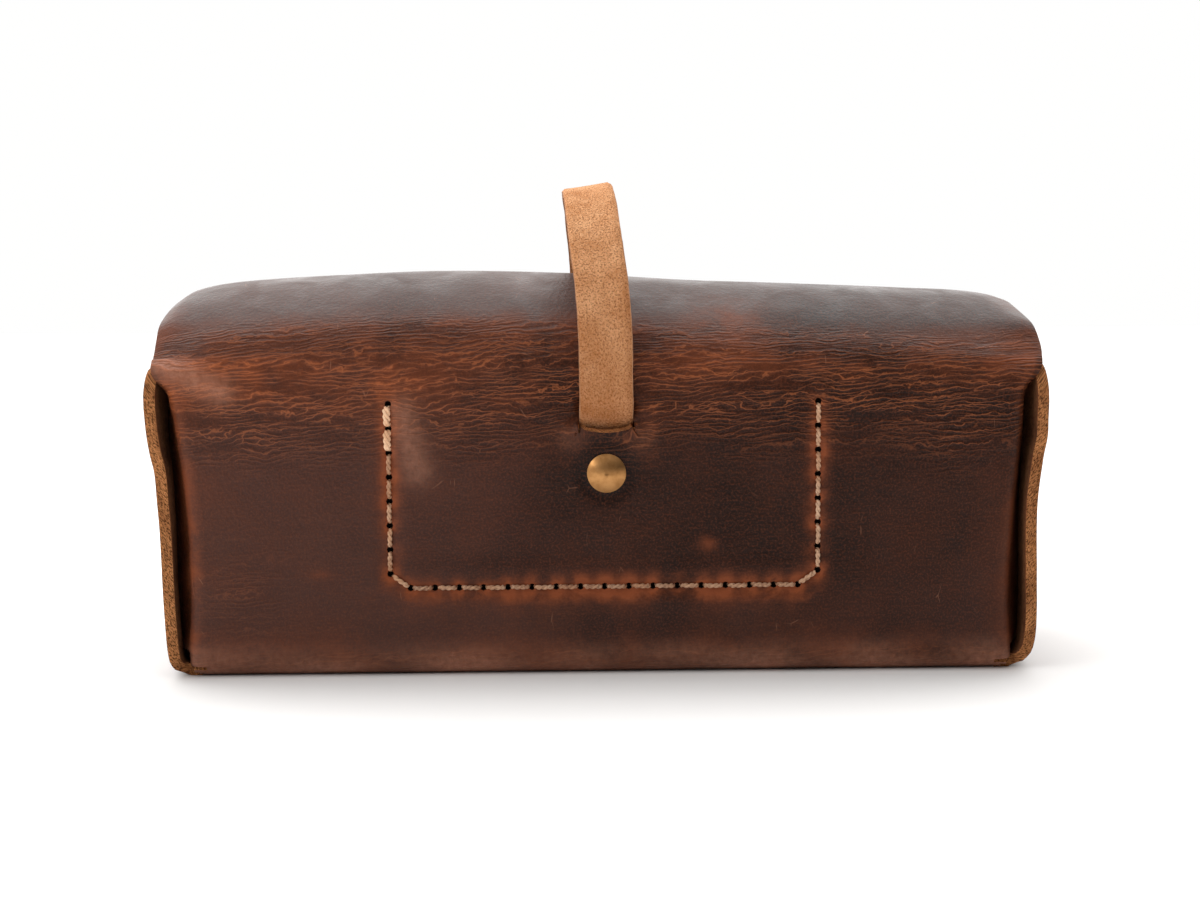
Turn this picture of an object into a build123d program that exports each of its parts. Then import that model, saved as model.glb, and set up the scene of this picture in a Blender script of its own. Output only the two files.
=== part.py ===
from build123d import *
import os
from math import atan2, degrees, hypot, sqrt

# A stiff leather case folded from one hide: base, back, front and two end wings, with a lid sheet
# that runs on from the back panel over a shallow crown and down the front. A strap riveted inside
# the back panel comes out through a slot, arches over the lid and ends in a flat magnetic button.
# Millimetres, +Z up, the back panel faces -Y, X runs along the length.

# hide and case body
hide = 2.6                  # thickness of the case leather
case_length = 186.0         # over the outer faces of the end wings
case_depth = 66.0           # outer face of the back panel to outer face of the front panel
back_top = 66.0             # top of the back panel, just under the fold of the lid
front_drop = 6.0            # the front panel's raw top edge lies this far under it
wing_drop = 2.0             # and the end wings' top edges this far
base_bend = 5.0             # outer radius of the folds up from the base
end_fold = 4.0              # outer radius of the upright folds at the ends of the panels
flange_depth = 24.0         # how far the folded-in flanges reach behind the wings
wing_corner = 8.0           # radius of the wings' top corners
slit = 0.5                  # gap between a flange's lower edge and the bend of the base
hinge_strip_gap = 0.3       # gap between the wings' rounded corners and the strip over them

# lid sheet
lid_length = 183.0
lid_gap = 0.3               # running gap between the front panel and the lid's front drop
hinge_gap = 0.5             # open line between the back panel and the lid, where the hide flexes
lid_front_drop = 26.0       # the lid's raw front edge lies this far under the back panel's top
back_shoulder = 5.0         # outer radius of the lid's fold at the back
front_shoulder = 12.0       # outer radius of the lid's fold at the front
crown_radius = 60.0         # outer radius of the shallow crown between the shoulders

# strap
strap_width = 11.0
strap_thick = 2.4
strap_x = 1.5               # the strap stands a little off the middle of the case
strap_gap = 0.3             # the strap's clearance off the leather it lies on
slot_drop = 14.5            # from the back panel's top down to the middle of the slot
slot_clearance = 0.55       # above and below the strap in the slot
slot_side_clearance = 0.2   # beside the strap in the slot
slot_fold = 1.6             # centre-line radius of the strap's two folds at the slot
tail_length = 7.0           # strap beyond the rivet, inside
root_drop = 5.5             # the part of the strap that stays with the case ends this far down
arch_lift = 1.0             # the arch springs this far over the back panel's top
arch_foot = 1.0             # and the part that lifts with the lid starts this much higher
tip_relief = 3.0            # the strap's front end starts this far under its flex line
tip_length = 8.0            # strap beyond the button

# rivet through the back panel and the strap's tail
rivet_drop = 9.5            # from the middle of the slot down to the rivet
rivet_cap_diameter = 8.0
rivet_dome = 1.4
rivet_base_diameter = 8.0
rivet_base_thick = 1.2
post_diameter = 3.0
post_clearance = 0.1        # all round a post in leather

# magnetic button between the strap's tip and the front panel
button_drop = 12.0          # from the lid's front edge down to the button
button_diameter = 13.0
panel_button_thick = 1.5
magnet_diameter = 10.0
magnet_thick = 0.9
magnet_gap = 0.3            # between the two button faces when closed
tip_cap_diameter = 12.0
tip_cap_dome = 1.8
panel_washer_diameter = 11.0
panel_washer_thick = 1.0

# pocket stitched inside the back panel
pocket_hide = 1.4
pocket_x = 1.0
pocket_drop = 6.0           # the pocket's open edge lies this far under the back panel's top
pocket_bulge = 5.2          # free space between the back panel and the pocket's face
pocket_margin = 4.0         # from the seam to the pocket's raw edge
pocket_wall_inset = 2.0     # from the seam to the raised face
pocket_corner = 5.0         # radius of the raised face's lower corners

# seams
stitch_pitch = 5.0
row_holes = 17
column_holes = 8
row_height = 18.5
column_step_in = 4.1        # each column stands this far outside the end of the row
column_step_up = 3.0        # and its lowest hole this far over the row
end_seam_inset = 14.0       # from the case's back or front face
end_seam_low = 12.0
end_seam_holes = 10
thread_hole = 1.2
thread_post = 0.9
thread_width = 1.1
thread_height = 0.7

# heights worked out from the sizes above
front_top = back_top - front_drop
wing_top = back_top - wing_drop
lid_edge = back_top - lid_front_drop
slot_height = back_top - slot_drop
rivet_height = slot_height - rivet_drop
tail_end = rivet_height - tail_length
root_top = back_top - root_drop
arch_level = back_top + arch_lift
tip_hinge = back_top
button_height = lid_edge - button_drop
tip_end = button_height - tip_length
pocket_top = back_top - pocket_drop
pocket_bottom = row_height - pocket_margin

# the other places
back_y = -case_depth / 2
front_y = case_depth / 2
back_inner = back_y + hide
front_inner = front_y - hide
wing_inner = case_length / 2 - hide
panel_flat = wing_inner - end_fold
lid_front = front_y + lid_gap + hide
hinge_z = back_top + hinge_gap / 2
lid_start = back_top + hinge_gap
rear_leg = back_y - strap_gap - strap_thick / 2
front_leg = lid_front + strap_gap + strap_thick / 2
strap_front = front_leg + strap_thick / 2
strip_bottom = wing_top - wing_corner + sqrt(wing_corner ** 2 - (wing_corner - hide) ** 2)
strip_bottom += hinge_strip_gap
tip_button_thick = front_leg - strap_thick / 2 - front_y - panel_button_thick - magnet_gap
post_radius = post_diameter / 2
post_hole = post_diameter / 2 + post_clearance
far = 3 * case_length

# the origin lies under the middle of the whole object, strap and cap included
y_low = rear_leg - strap_thick / 2
y_high = strap_front + tip_cap_dome
to_origin = Location((0, -(y_low + y_high) / 2, 0))


def block(x0, x1, y0, y1, z0, z1):
    middle = Location(((x0 + x1) / 2, (y0 + y1) / 2, (z0 + z1) / 2))
    return middle * Box(x1 - x0, y1 - y0, z1 - z0)


def across(face, x0, x1):
    """A face drawn with y and z as its two axes, made solid from x0 to x1."""
    return Location((x0, 0, 0)) * extrude(Plane.YZ * face, x1 - x0)


def peg(radius, y0, y1, x, z):
    return Location((x, (y0 + y1) / 2, z), (90, 0, 0)) * Cylinder(radius, y1 - y0)


def dome(diameter, rise, rim, y, x, z, outward):
    """A shallow cap on a flat face at y, with a straight rim and a spherical top."""
    radius = diameter / 2
    crown = (radius ** 2 + (rise - rim) ** 2) / (2 * (rise - rim))
    ball = Location((0, 0, rise - crown)) * Sphere(crown)
    cap = (Location((0, 0, rise / 2)) * Cylinder(radius, rise)) & ball
    turn = Location((x, y, z), (-90 if outward > 0 else 90, 0, 0))
    return turn * cap


def tray(half_width, bend, top):
    """Section of the hide folded up on both sides of the base, open at the top."""
    outer = Location((0, top / 2)) * Rectangle(2 * half_width, top)
    outer = fillet(outer.vertices().group_by(Axis.Y)[0], bend)
    inner = Location((0, hide + top / 2)) * Rectangle(2 * (half_width - hide), top)
    inner = fillet(inner.vertices().group_by(Axis.Y)[0], bend - hide)
    return outer - inner


def seam_points():
    """Holes of the pocket's seam: down the left side, along the bottom and up the right side."""
    half_row = (row_holes - 1) * stitch_pitch / 2
    column = [row_height + column_step_up + i * stitch_pitch for i in range(column_holes)]
    row = [(pocket_x - half_row + i * stitch_pitch, row_height) for i in range(row_holes)]
    left = [(pocket_x - half_row - column_step_in, z) for z in reversed(column)]
    right = [(pocket_x + half_row + column_step_in, z) for z in column]
    return left + row + right


def end_seam_heights():
    return [end_seam_low + i * stitch_pitch for i in range(end_seam_holes)]


def saddle_thread(points, thickness):
    """Thread of one seam through a given thickness: bars on both faces and a post in each hole.

    The seam is drawn on the XY plane, with the leather from 0 down to -thickness.
    """
    bars = Sketch()
    for (x0, y0), (x1, y1) in zip(points, points[1:]):
        turn = degrees(atan2(y1 - y0, x1 - x0))
        length = hypot(x1 - x0, y1 - y0)
        bars += Location(((x0 + x1) / 2, (y0 + y1) / 2), turn) * SlotCenterToCenter(length, thread_width)
    upper = extrude(bars, thread_height)
    lower = Location((0, 0, -thickness - thread_height)) * extrude(bars, thread_height)
    posts = [Location((x, y, -thickness / 2)) * Cylinder(thread_post / 2, thickness)
             for x, y in points]
    return upper.fuse(lower, *posts)


def case_shell():
    half_length = case_length / 2
    wings = extrude(Plane.XZ * tray(half_length, base_bend, wing_top), case_depth / 2, both=True)
    for side in (back_y, front_y):
        edge = block(-panel_flat, panel_flat, side - base_bend, side + base_bend, -1, base_bend)
        wings -= edge
    corners = wings.edges().filter_by(Axis.X).group_by(Axis.Z)[-1]
    wings = fillet(corners, wing_corner)

    panels = across(tray(case_depth / 2, base_bend, back_top), -panel_flat, panel_flat)

    outline = fillet(Rectangle(2 * wing_inner, case_depth).vertices(), end_fold)
    hollow = Rectangle(2 * (wing_inner - hide), case_depth - 2 * hide)
    hollow = fillet(hollow.vertices(), end_fold - hide)
    flange_bottom = base_bend + slit
    ring = Location((0, 0, flange_bottom)) * extrude(outline - hollow, strip_bottom - flange_bottom)
    window = case_depth / 2 - flange_depth
    ring -= block(-far, far, -window, window, 0, far)

    strip = block(-lid_length / 2, lid_length / 2, back_y, back_inner, strip_bottom, back_top)

    shell = wings + panels + ring + strip
    shell -= block(-wing_inner, wing_inner, 0, far, front_top, far)

    slot_half = strap_thick / 2 + slot_clearance
    slot_side = strap_width / 2 + slot_side_clearance
    shell -= block(strap_x - slot_side, strap_x + slot_side, back_y - 1, back_inner + 1,
                   slot_height - slot_half, slot_height + slot_half)
    holes = [peg(thread_hole / 2, back_y - 1, back_inner + 1, x, z) for x, z in seam_points()]
    holes.append(peg(post_hole, back_y - 1, back_inner + 1, strap_x, rivet_height))
    holes.append(peg(post_hole, front_inner - 1, front_y + 1, strap_x, button_height))
    for side in (-1, 1):
        y = side * (case_depth / 2 - end_seam_inset)
        holes += [Location((0, y, z), (0, 90, 0)) * Cylinder(thread_hole / 2, case_length + hide)
                  for z in end_seam_heights()]
    return shell.cut(*holes)


def inner_pocket():
    """Stitched flat round three sides, standing off the back panel between, open at the top."""
    xs = [x for x, z in seam_points()]
    low, high = min(xs), max(xs)
    edge = block(low - pocket_margin, high + pocket_margin, back_inner, back_inner + pocket_hide,
                 pocket_bottom, pocket_top)
    wall_low = row_height + pocket_wall_inset
    face = back_inner + pocket_bulge + pocket_hide
    raised = block(low + pocket_wall_inset, high - pocket_wall_inset, back_inner, face,
                   wall_low, pocket_top)
    raised = fillet(raised.edges().filter_by(Axis.Y).group_by(Axis.Z)[0], pocket_corner)
    space = block(low + pocket_wall_inset + pocket_hide, high - pocket_wall_inset - pocket_hide,
                  back_inner - 1, face - pocket_hide, wall_low + pocket_hide, pocket_top + 1)
    space = fillet(space.edges().filter_by(Axis.Y).group_by(Axis.Z)[0], pocket_corner - pocket_hide)
    pocket = edge + raised - space
    holes = [peg(thread_hole / 2, back_inner - 1, back_inner + pocket_hide + 1, x, z)
             for x, z in seam_points()]
    return pocket.cut(*holes)


def pocket_thread():
    flat = saddle_thread(seam_points(), hide + pocket_hide)
    return Location((0, back_y, 0), (90, 0, 0)) * flat


def end_thread(end, side):
    """Seam of one wing (end is -1 at -X) to the flange folded in from one panel (-1 at the back)."""
    flat = saddle_thread([(0, z) for z in end_seam_heights()], 2 * hide)
    y = side * (case_depth / 2 - end_seam_inset)
    facing = Plane(origin=(end * case_length / 2, y, 0), x_dir=(0, end, 0), z_dir=(end, 0, 0))
    return facing * flat


def lid_centre_line():
    """Middle of the lid sheet's thickness, from the hinge line over the crown to the raw edge."""
    back = (back_y + back_shoulder, lid_start)
    front = (lid_front - front_shoulder, lid_start)
    apart = front[0] - back[0]
    to_back, to_front = crown_radius - back_shoulder, crown_radius - front_shoulder
    along = (to_back ** 2 - to_front ** 2 + apart ** 2) / (2 * apart)
    crown = (back[0] + along, lid_start - sqrt(to_back ** 2 - along ** 2))
    back_turn = degrees(atan2(back[1] - crown[1], back[0] - crown[0]))
    front_turn = degrees(atan2(front[1] - crown[1], front[0] - crown[0]))
    return Curve() + [
        CenterArc(back, back_shoulder - hide / 2, back_turn, 180 - back_turn),
        CenterArc(crown, crown_radius - hide / 2, front_turn, back_turn - front_turn),
        CenterArc(front, front_shoulder - hide / 2, 0, front_turn),
        Line((lid_front - hide / 2, lid_start), (lid_front - hide / 2, lid_edge)),
    ]


def lid_flap():
    return across(trace(lid_centre_line(), hide), -lid_length / 2, lid_length / 2)


def strap_piece(line):
    return across(trace(line, strap_thick), strap_x - strap_width / 2, strap_x + strap_width / 2)


def strap_root():
    tail = back_inner + strap_thick / 2
    line = FilletPolyline((tail, tail_end), (tail, slot_height), (rear_leg, slot_height),
                          (rear_leg, root_top), radius=slot_fold)
    root = strap_piece(line)
    end = root.edges().filter_by(Axis.Y).group_by(Axis.Z)[0]
    root = fillet(end, strap_width / 3)
    return root - peg(post_hole, back_inner - 1, back_inner + strap_thick + 1, strap_x, rivet_height)


def strap_arch():
    """Half a circle from the back leg to the front leg, with a short straight end at the front."""
    middle = (rear_leg + front_leg) / 2
    radius = (front_leg - rear_leg) / 2
    rise = degrees(atan2(arch_foot, radius))
    line = Curve() + [
        CenterArc((middle, arch_level), radius, 0, 180 - rise),
        Line((front_leg, arch_level), (front_leg, tip_hinge + strap_gap)),
    ]
    return strap_piece(line)


def strap_end():
    line = Line((front_leg, tip_hinge - tip_relief), (front_leg, tip_end))
    end = strap_piece(line)
    tip = end.edges().filter_by(Axis.Y).group_by(Axis.Z)[0]
    end = fillet(tip, strap_width / 2.2)
    return end - peg(post_hole, front_leg - strap_thick, strap_front + 1, strap_x, button_height)


def strap_rivet_cap():
    cap = dome(rivet_cap_diameter, rivet_dome, rivet_dome / 3, back_y, strap_x, rivet_height, -1)
    return cap + peg(post_radius, back_y, back_inner + strap_thick, strap_x, rivet_height)


def strap_rivet_base():
    under = back_inner + strap_thick
    base = peg(rivet_base_diameter / 2, under, under + rivet_base_thick, strap_x, rivet_height)
    return fillet(base.edges().group_by(Axis.Y)[-1], rivet_base_thick / 3)


def button_cup(y_face, y_back, y_post):
    """Brass cup with a magnet let into its face, and a post through the leather behind it."""
    cup = peg(button_diameter / 2, min(y_face, y_back), max(y_face, y_back), strap_x, button_height)
    cup = fillet(cup.edges().filter_by(GeomType.CIRCLE), panel_button_thick / 6)
    cup += peg(post_radius, min(y_back, y_post), max(y_back, y_post), strap_x, button_height)
    return cup - magnet(y_face, y_back)


def magnet(y_face, y_back):
    inward = magnet_thick if y_back > y_face else -magnet_thick
    ends = sorted((y_face, y_face + inward))
    return peg(magnet_diameter / 2, ends[0], ends[1], strap_x, button_height)


panel_face = front_y + panel_button_thick
tip_face = panel_face + magnet_gap
tip_back = tip_face + tip_button_thick


def panel_button_washer():
    washer = peg(panel_washer_diameter / 2, front_inner - panel_washer_thick, front_inner,
                 strap_x, button_height)
    return fillet(washer.edges().group_by(Axis.Y)[0], panel_washer_thick / 3)


def tip_cap():
    return dome(tip_cap_diameter, tip_cap_dome, tip_cap_dome / 3, strap_front, strap_x,
                button_height, 1)


def end_threads():
    names = {-1: "left", 1: "right"}
    sides = {-1: "back", 1: "front"}
    return {f"end_thread_{names[e]}_{sides[s]}": end_thread(e, s) for e in names for s in sides}


nodes = {
    "case_shell": case_shell(),
    "inner_pocket": inner_pocket(),
    "pocket_thread": pocket_thread(),
    **end_threads(),
    "strap_root": strap_root(),
    "strap_rivet_cap": strap_rivet_cap(),
    "strap_rivet_base": strap_rivet_base(),
    "panel_button": button_cup(panel_face, front_y, front_inner),
    "panel_button_magnet": magnet(panel_face, front_y),
    "panel_button_washer": panel_button_washer(),
    "lid_flap": lid_flap(),
    "strap_arch": strap_arch(),
    "strap_end": strap_end(),
    "tip_button": button_cup(tip_face, tip_back, strap_front),
    "tip_button_magnet": magnet(tip_face, tip_back),
    "tip_cap": tip_cap(),
}

os.makedirs("parts", exist_ok=True)
for name, shape in nodes.items():
    export_step(to_origin * shape, f"parts/{name}.step")
print(f"hinge line of the lid: y {back_y + to_origin.position.Y:.3f} z {hinge_z:.3f}")
print(f"flex line of the tip: y {front_leg - strap_thick / 2 + to_origin.position.Y:.3f} z {tip_hinge}")
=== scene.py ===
# Leather case for a small camera, with a strap that arches over its lid. The pieces are worked
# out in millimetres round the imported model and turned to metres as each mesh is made.
import bpy
import bmesh
import random
from math import radians, degrees, pi, sin, cos, sqrt, exp, hypot
from mathutils import Vector, Matrix, noise


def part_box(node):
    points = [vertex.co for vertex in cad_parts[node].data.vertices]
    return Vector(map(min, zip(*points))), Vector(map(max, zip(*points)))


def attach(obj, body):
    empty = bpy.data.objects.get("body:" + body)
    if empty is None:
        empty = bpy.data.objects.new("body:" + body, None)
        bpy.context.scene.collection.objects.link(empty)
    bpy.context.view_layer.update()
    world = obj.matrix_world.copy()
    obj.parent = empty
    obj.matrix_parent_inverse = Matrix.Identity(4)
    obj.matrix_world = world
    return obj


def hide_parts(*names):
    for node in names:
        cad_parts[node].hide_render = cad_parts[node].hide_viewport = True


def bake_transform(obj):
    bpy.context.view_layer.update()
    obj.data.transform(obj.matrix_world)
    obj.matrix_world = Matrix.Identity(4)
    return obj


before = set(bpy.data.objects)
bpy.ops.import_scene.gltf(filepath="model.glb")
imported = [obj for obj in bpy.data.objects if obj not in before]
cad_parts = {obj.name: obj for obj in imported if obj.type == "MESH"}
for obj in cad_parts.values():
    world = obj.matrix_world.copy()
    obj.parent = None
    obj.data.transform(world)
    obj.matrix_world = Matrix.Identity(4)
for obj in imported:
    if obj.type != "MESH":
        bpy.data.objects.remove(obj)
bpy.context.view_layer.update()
mm = 0.001
dice = random.Random(41)


def nodeBox(name):
    low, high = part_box(name)
    return Vector(low) / mm, Vector(high) / mm


shellLow, shellHigh = nodeBox("case_shell")
lidLow, lidHigh = nodeBox("lid_flap")
pocketLow, pocketHigh = nodeBox("inner_pocket")
rootLow, rootHigh = nodeBox("strap_root")
capLow, capHigh = nodeBox("strap_rivet_cap")

backY, frontY, lidFrontY = shellLow.y, shellHigh.y, lidHigh.y
strapX = (rootLow.x + rootHigh.x) / 2
rivetZ = (capLow.z + capHigh.z) / 2

hide = {
    "thick": 2.6,
    "edgeRound": 0.42,
    "baseBend": 5.0,
    "slit": 1.9,             # lower edge of the parts turned in at the panels' ends
    "straightLow": 5.5,
    "frontDrop": 6.0,        # the front panel's raw top stands this far under the shell's
    "flangeTop": 57.5,
    "flattenTop": 64.5,      # above this the turned-in ends have run out flat
    "flatEnd": 86.1,         # the flat part of the sheet reaches this far each way
    "foldLength": 5.4,
    "flangeStep": 1.56,
    "foldStep": 3.6,         # the fold starts this far in from where it shows
    "foldBend": 76.0,        # degrees, and a little less low down
    "lowBend": 74.0,
    "flangeTurn": (11, 15.5),            # between these lengths the flange turns to lie along the wing
    "flangeDepth": 17,       # and this far in from the panel it comes up against the wing
    "backShoulder": 5.0,
    "frontShoulder": 12.0,
    "crownRadius": 60.0,
    "shoulderEase": 9.0,     # reach of the softening over the hinge
    "softHeights": (52, 62),             # the softening comes in between these heights
    "softDepths": (-22, -9),             # and has run out between these depths
    "lidSeam": 64.5,         # the lid's front drop is its own piece below this height
    "swell": 0.3,            # slow waves in the leather
    "seamPull": 0.3,         # how far the stitches pull the leather in
}
# how many steps each bend of the hide is made in
arcSteps = {"frontBend": 7, "base": 20, "backBend": 8, "backShoulder": 5, "crown": 60, "frontShoulder": 14}
hingeZ = shellHigh.z + 0.5


# Small helpers for shapes and colours.

def ease(x, a, b):
    t = min(1.0, max(0.0, (x - a) / (b - a)))
    return t * t * (3 - 2 * t)


def bell(distance, width):
    return exp(-(distance / width) ** 2)


def lineDistance(x, z, start, end):
    # how far a point stands from a short straight line
    (x0, z0), (x1, z1) = start, end
    dx, dz = x1 - x0, z1 - z0
    t = min(1.0, max(0.0, ((x - x0) * dx + (z - z0) * dz) / (dx * dx + dz * dz)))
    return hypot(x - x0 - t * dx, z - z0 - t * dz)


def nearest(values, wanted):
    return min(range(len(values)), key=lambda n: abs(values[n] - wanted))


def smoothLine(*table):
    # a smooth line through (place, value) pairs
    xs, vs = [p[0] for p in table], [p[1] for p in table]
    last = len(xs) - 1
    slopes = [(vs[min(last, i + 1)] - vs[max(0, i - 1)]) / (xs[min(last, i + 1)] - xs[max(0, i - 1)])
              for i in range(len(xs))]

    def value(x):
        if x <= xs[0]:
            return vs[0]
        if x >= xs[last]:
            return vs[last]
        i = 0
        while xs[i + 1] < x:
            i += 1
        step = xs[i + 1] - xs[i]
        t = (x - xs[i]) / step
        return ((2 * t ** 3 - 3 * t * t + 1) * vs[i] + (t ** 3 - 2 * t * t + t) * step * slopes[i]
                + (3 * t * t - 2 * t ** 3) * vs[i + 1] + (t ** 3 - t * t) * step * slopes[i + 1])
    return value


def tone(red, green, blue):
    # a colour given on the usual 0 to 255 scale, made linear
    def one(c):
        c = c / 255
        return c / 12.92 if c <= 0.04045 else ((c + 0.055) / 1.055) ** 2.4
    return (one(red), one(green), one(blue), 1.0)


def wave(x, y, seed=0.0):
    return noise.noise(Vector((x, y, seed)))


# Outlines of the worn case by height. The two ends are kept apart, as they have aged differently.

crownHeight = smoothLine((-91.5, 78.3), (-88, 80.5), (-77.8, 82.3), (-55, 83.6), (-32, 84.2), (-5, 83.6),
                         (7, 82.8), (22, 81.9), (38, 81.4), (53, 80.8), (68.6, 80.0), (80, 79.2),
                         (88, 78.2), (91.5, 77.2))
crownMiddle = 82.42
wingOutline = {
    -1: smoothLine((0, 85.3), (0.9, 87.4), (2.6, 88.6), (5.1, 89.1), (8.2, 89.4), (16.6, 89.8),
                   (25.5, 90.0), (31.9, 90.2), (36.4, 90.5), (42.8, 90.9), (46.5, 91.7), (50.6, 92.3),
                   (54.5, 92.6), (58.5, 92.8), (64, 92.8)),
    1: smoothLine((0, 85.6), (0.9, 87.7), (3.2, 89.6), (6.7, 90.6), (12, 90.9), (19.4, 90.8),
                  (34.6, 90.7), (44.6, 91.8), (48.9, 92.6), (52.8, 92.7), (57, 92.8), (64, 92.8)),
}
foldOutline = {
    -1: smoothLine((2.7, 85.1), (16.5, 84.1), (25.4, 84.2), (33.3, 84.6), (42.7, 85.6), (46.4, 86.2),
                   (52.6, 87.0), (57.5, 88.0)),
    1: smoothLine((2.6, 86.0), (8.5, 85.4), (19, 85.2), (34, 86.2), (48.1, 87.6), (57.5, 88.3)),
}
wing = {
    "thick": 2.4,
    "topCorner": 8.0,
    "top": 64,
    "inset": 0.2,            # the wings stand this far inside the model's ends in the middle
    "gap": 0.12,             # between a wing and the flange behind it
    "drawnIn": 24,           # how far from each raw edge the wing has drawn in
    "underReach": 84.2,      # where the wings' sheet meets the base's underneath
    "straightTop": 46.0,
    "swell": 0.22,
    "seamPull": 0.25,
    "tuck": 3.6,             # the lower corners are pulled towards the middle
}


def wingOuter(side, y, z):
    # the wings' raw edges have drawn in, the middle still stands straight
    bend = hide["baseBend"]
    middle = shellHigh.x - wing["inset"]
    if z < bend:
        middle -= bend - sqrt(max(0.0, bend ** 2 - (bend - z) ** 2))
    toEdge = max(ease(y, backY + wing["drawnIn"], backY), ease(y, frontY - wing["drawnIn"], frontY))
    return middle + (wingOutline[side](z) - middle) * toEdge


def wingSwell(side, y, z):
    return wing["swell"] * wave(y / 17, z / 15, 5.0 * side)


# Stitch holes: a U of them on the back panel, and a column up each wing's back and front.

stitch = {
    "pitch": 5.0, "rowHeight": 18.5, "rowStart": -39.0, "rowHoles": 17, "columnHoles": 8,
    "leftX": -43.1, "rightX": 45.1, "columnLow": 21.5, "holeRadius": 0.7, "holeDepth": 1.5,
    "endInset": 14.0, "endLow": 12.0, "endHoles": 10,
}
columnHeights = [stitch["columnLow"] + i * stitch["pitch"] for i in range(stitch["columnHoles"])]
seamHoles = ([(stitch["leftX"], z) for z in reversed(columnHeights)]
             + [(stitch["rowStart"] + i * stitch["pitch"], stitch["rowHeight"])
                for i in range(stitch["rowHoles"])]
             + [(stitch["rightX"], z) for z in columnHeights])
endHeights = [stitch["endLow"] + i * stitch["pitch"] for i in range(stitch["endHoles"])]
endSeamY = {"back": backY + stitch["endInset"], "front": frontY - stitch["endInset"]}


def seamDistance(x, z):
    best, reach = 99.0, 6
    for start, end in zip(seamHoles, seamHoles[1:]):
        (x0, z0), (x1, z1) = start, end
        if (min(x0, x1) - reach < x < max(x0, x1) + reach
                and min(z0, z1) - reach < z < max(z0, z1) + reach):
            best = min(best, lineDistance(x, z, start, end))
    return best


# Making the meshes.

def intoScene(name, data):
    made = bpy.data.objects.new(name, data)
    bpy.context.scene.collection.objects.link(made)
    return made


def giveMesh(name, mesh, skins, sharp=50):
    data = bpy.data.meshes.new(name)
    mesh.to_mesh(data)
    mesh.free()
    for skin in skins:
        data.materials.append(skin)
    data.polygons.foreach_set("use_smooth", [True] * len(data.polygons))
    data.set_sharp_from_angle(angle=radians(sharp))
    return intoScene(name, data)


def sheetNormals(points, quads):
    normals = [Vector() for _ in points]
    for quad in quads:
        a, b, c, d = (points[k] for k in quad)
        n = (c - a).cross(d - b)
        for k in quad:
            normals[k] += n
    return [n.normalized() for n in normals]


def facing(points, faces, way, probe):
    # the faces and their normals, turned over if they look away from the wanted side
    turned = sheetNormals(points, faces)
    if turned[probe].dot(way) < 0:
        return [face[::-1] for face in faces], [-n for n in turned]
    return faces, turned


def newTraits():
    return {"warm": [], "crease": [], "plum": [], "paintedLight": []}


def addTraits(traits, *shares):
    for values, share in zip(traits.values(), shares):
        values.append(share)


def layFlat(mesh, flatU, flatV):
    # lengths measured along the leather become its flat map
    uvLayer = mesh.loops.layers.uv.new("flat")
    for face in mesh.faces:
        for loop in face.loops:
            loop[uvLayer].uv = (loop.vert[flatU], loop.vert[flatV])
    bmesh.ops.recalc_face_normals(mesh, faces=mesh.faces)


def punchHole(mesh, centreVert, faces, normal, markVert, radius, depth):
    # a blind hole in place of one vertex and the four faces round it
    centre = centreVert.co.copy()
    ring, around = [], {}
    for face in faces:
        corner = list(face.verts)
        i = corner.index(centreVert)
        around[corner[(i + 1) % 4]] = (corner[(i + 2) % 4], corner[(i + 3) % 4])
    at = next(iter(around))
    for _ in range(4):
        ring += [at, around[at][0]]
        at = around[at][1]
    bmesh.ops.delete(mesh, geom=[centreVert], context="VERTS")
    lips, floors = [], []
    for vert in ring:
        way = vert.co - centre
        way -= normal * way.dot(normal)
        way.normalize()
        lips.append(mesh.verts.new(centre + way * radius * mm - normal * 0.08 * mm))
        floors.append(mesh.verts.new(centre + way * radius * 0.8 * mm - normal * depth * mm))
        markVert(lips[-1])
        markVert(floors[-1])
    for i in range(8):
        j = (i + 1) % 8
        mesh.faces.new([ring[i], ring[j], lips[j], lips[i]])
        mesh.faces.new([lips[i], lips[j], floors[j], floors[i]]).material_index = 3
    mesh.faces.new(floors).material_index = 3


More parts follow.
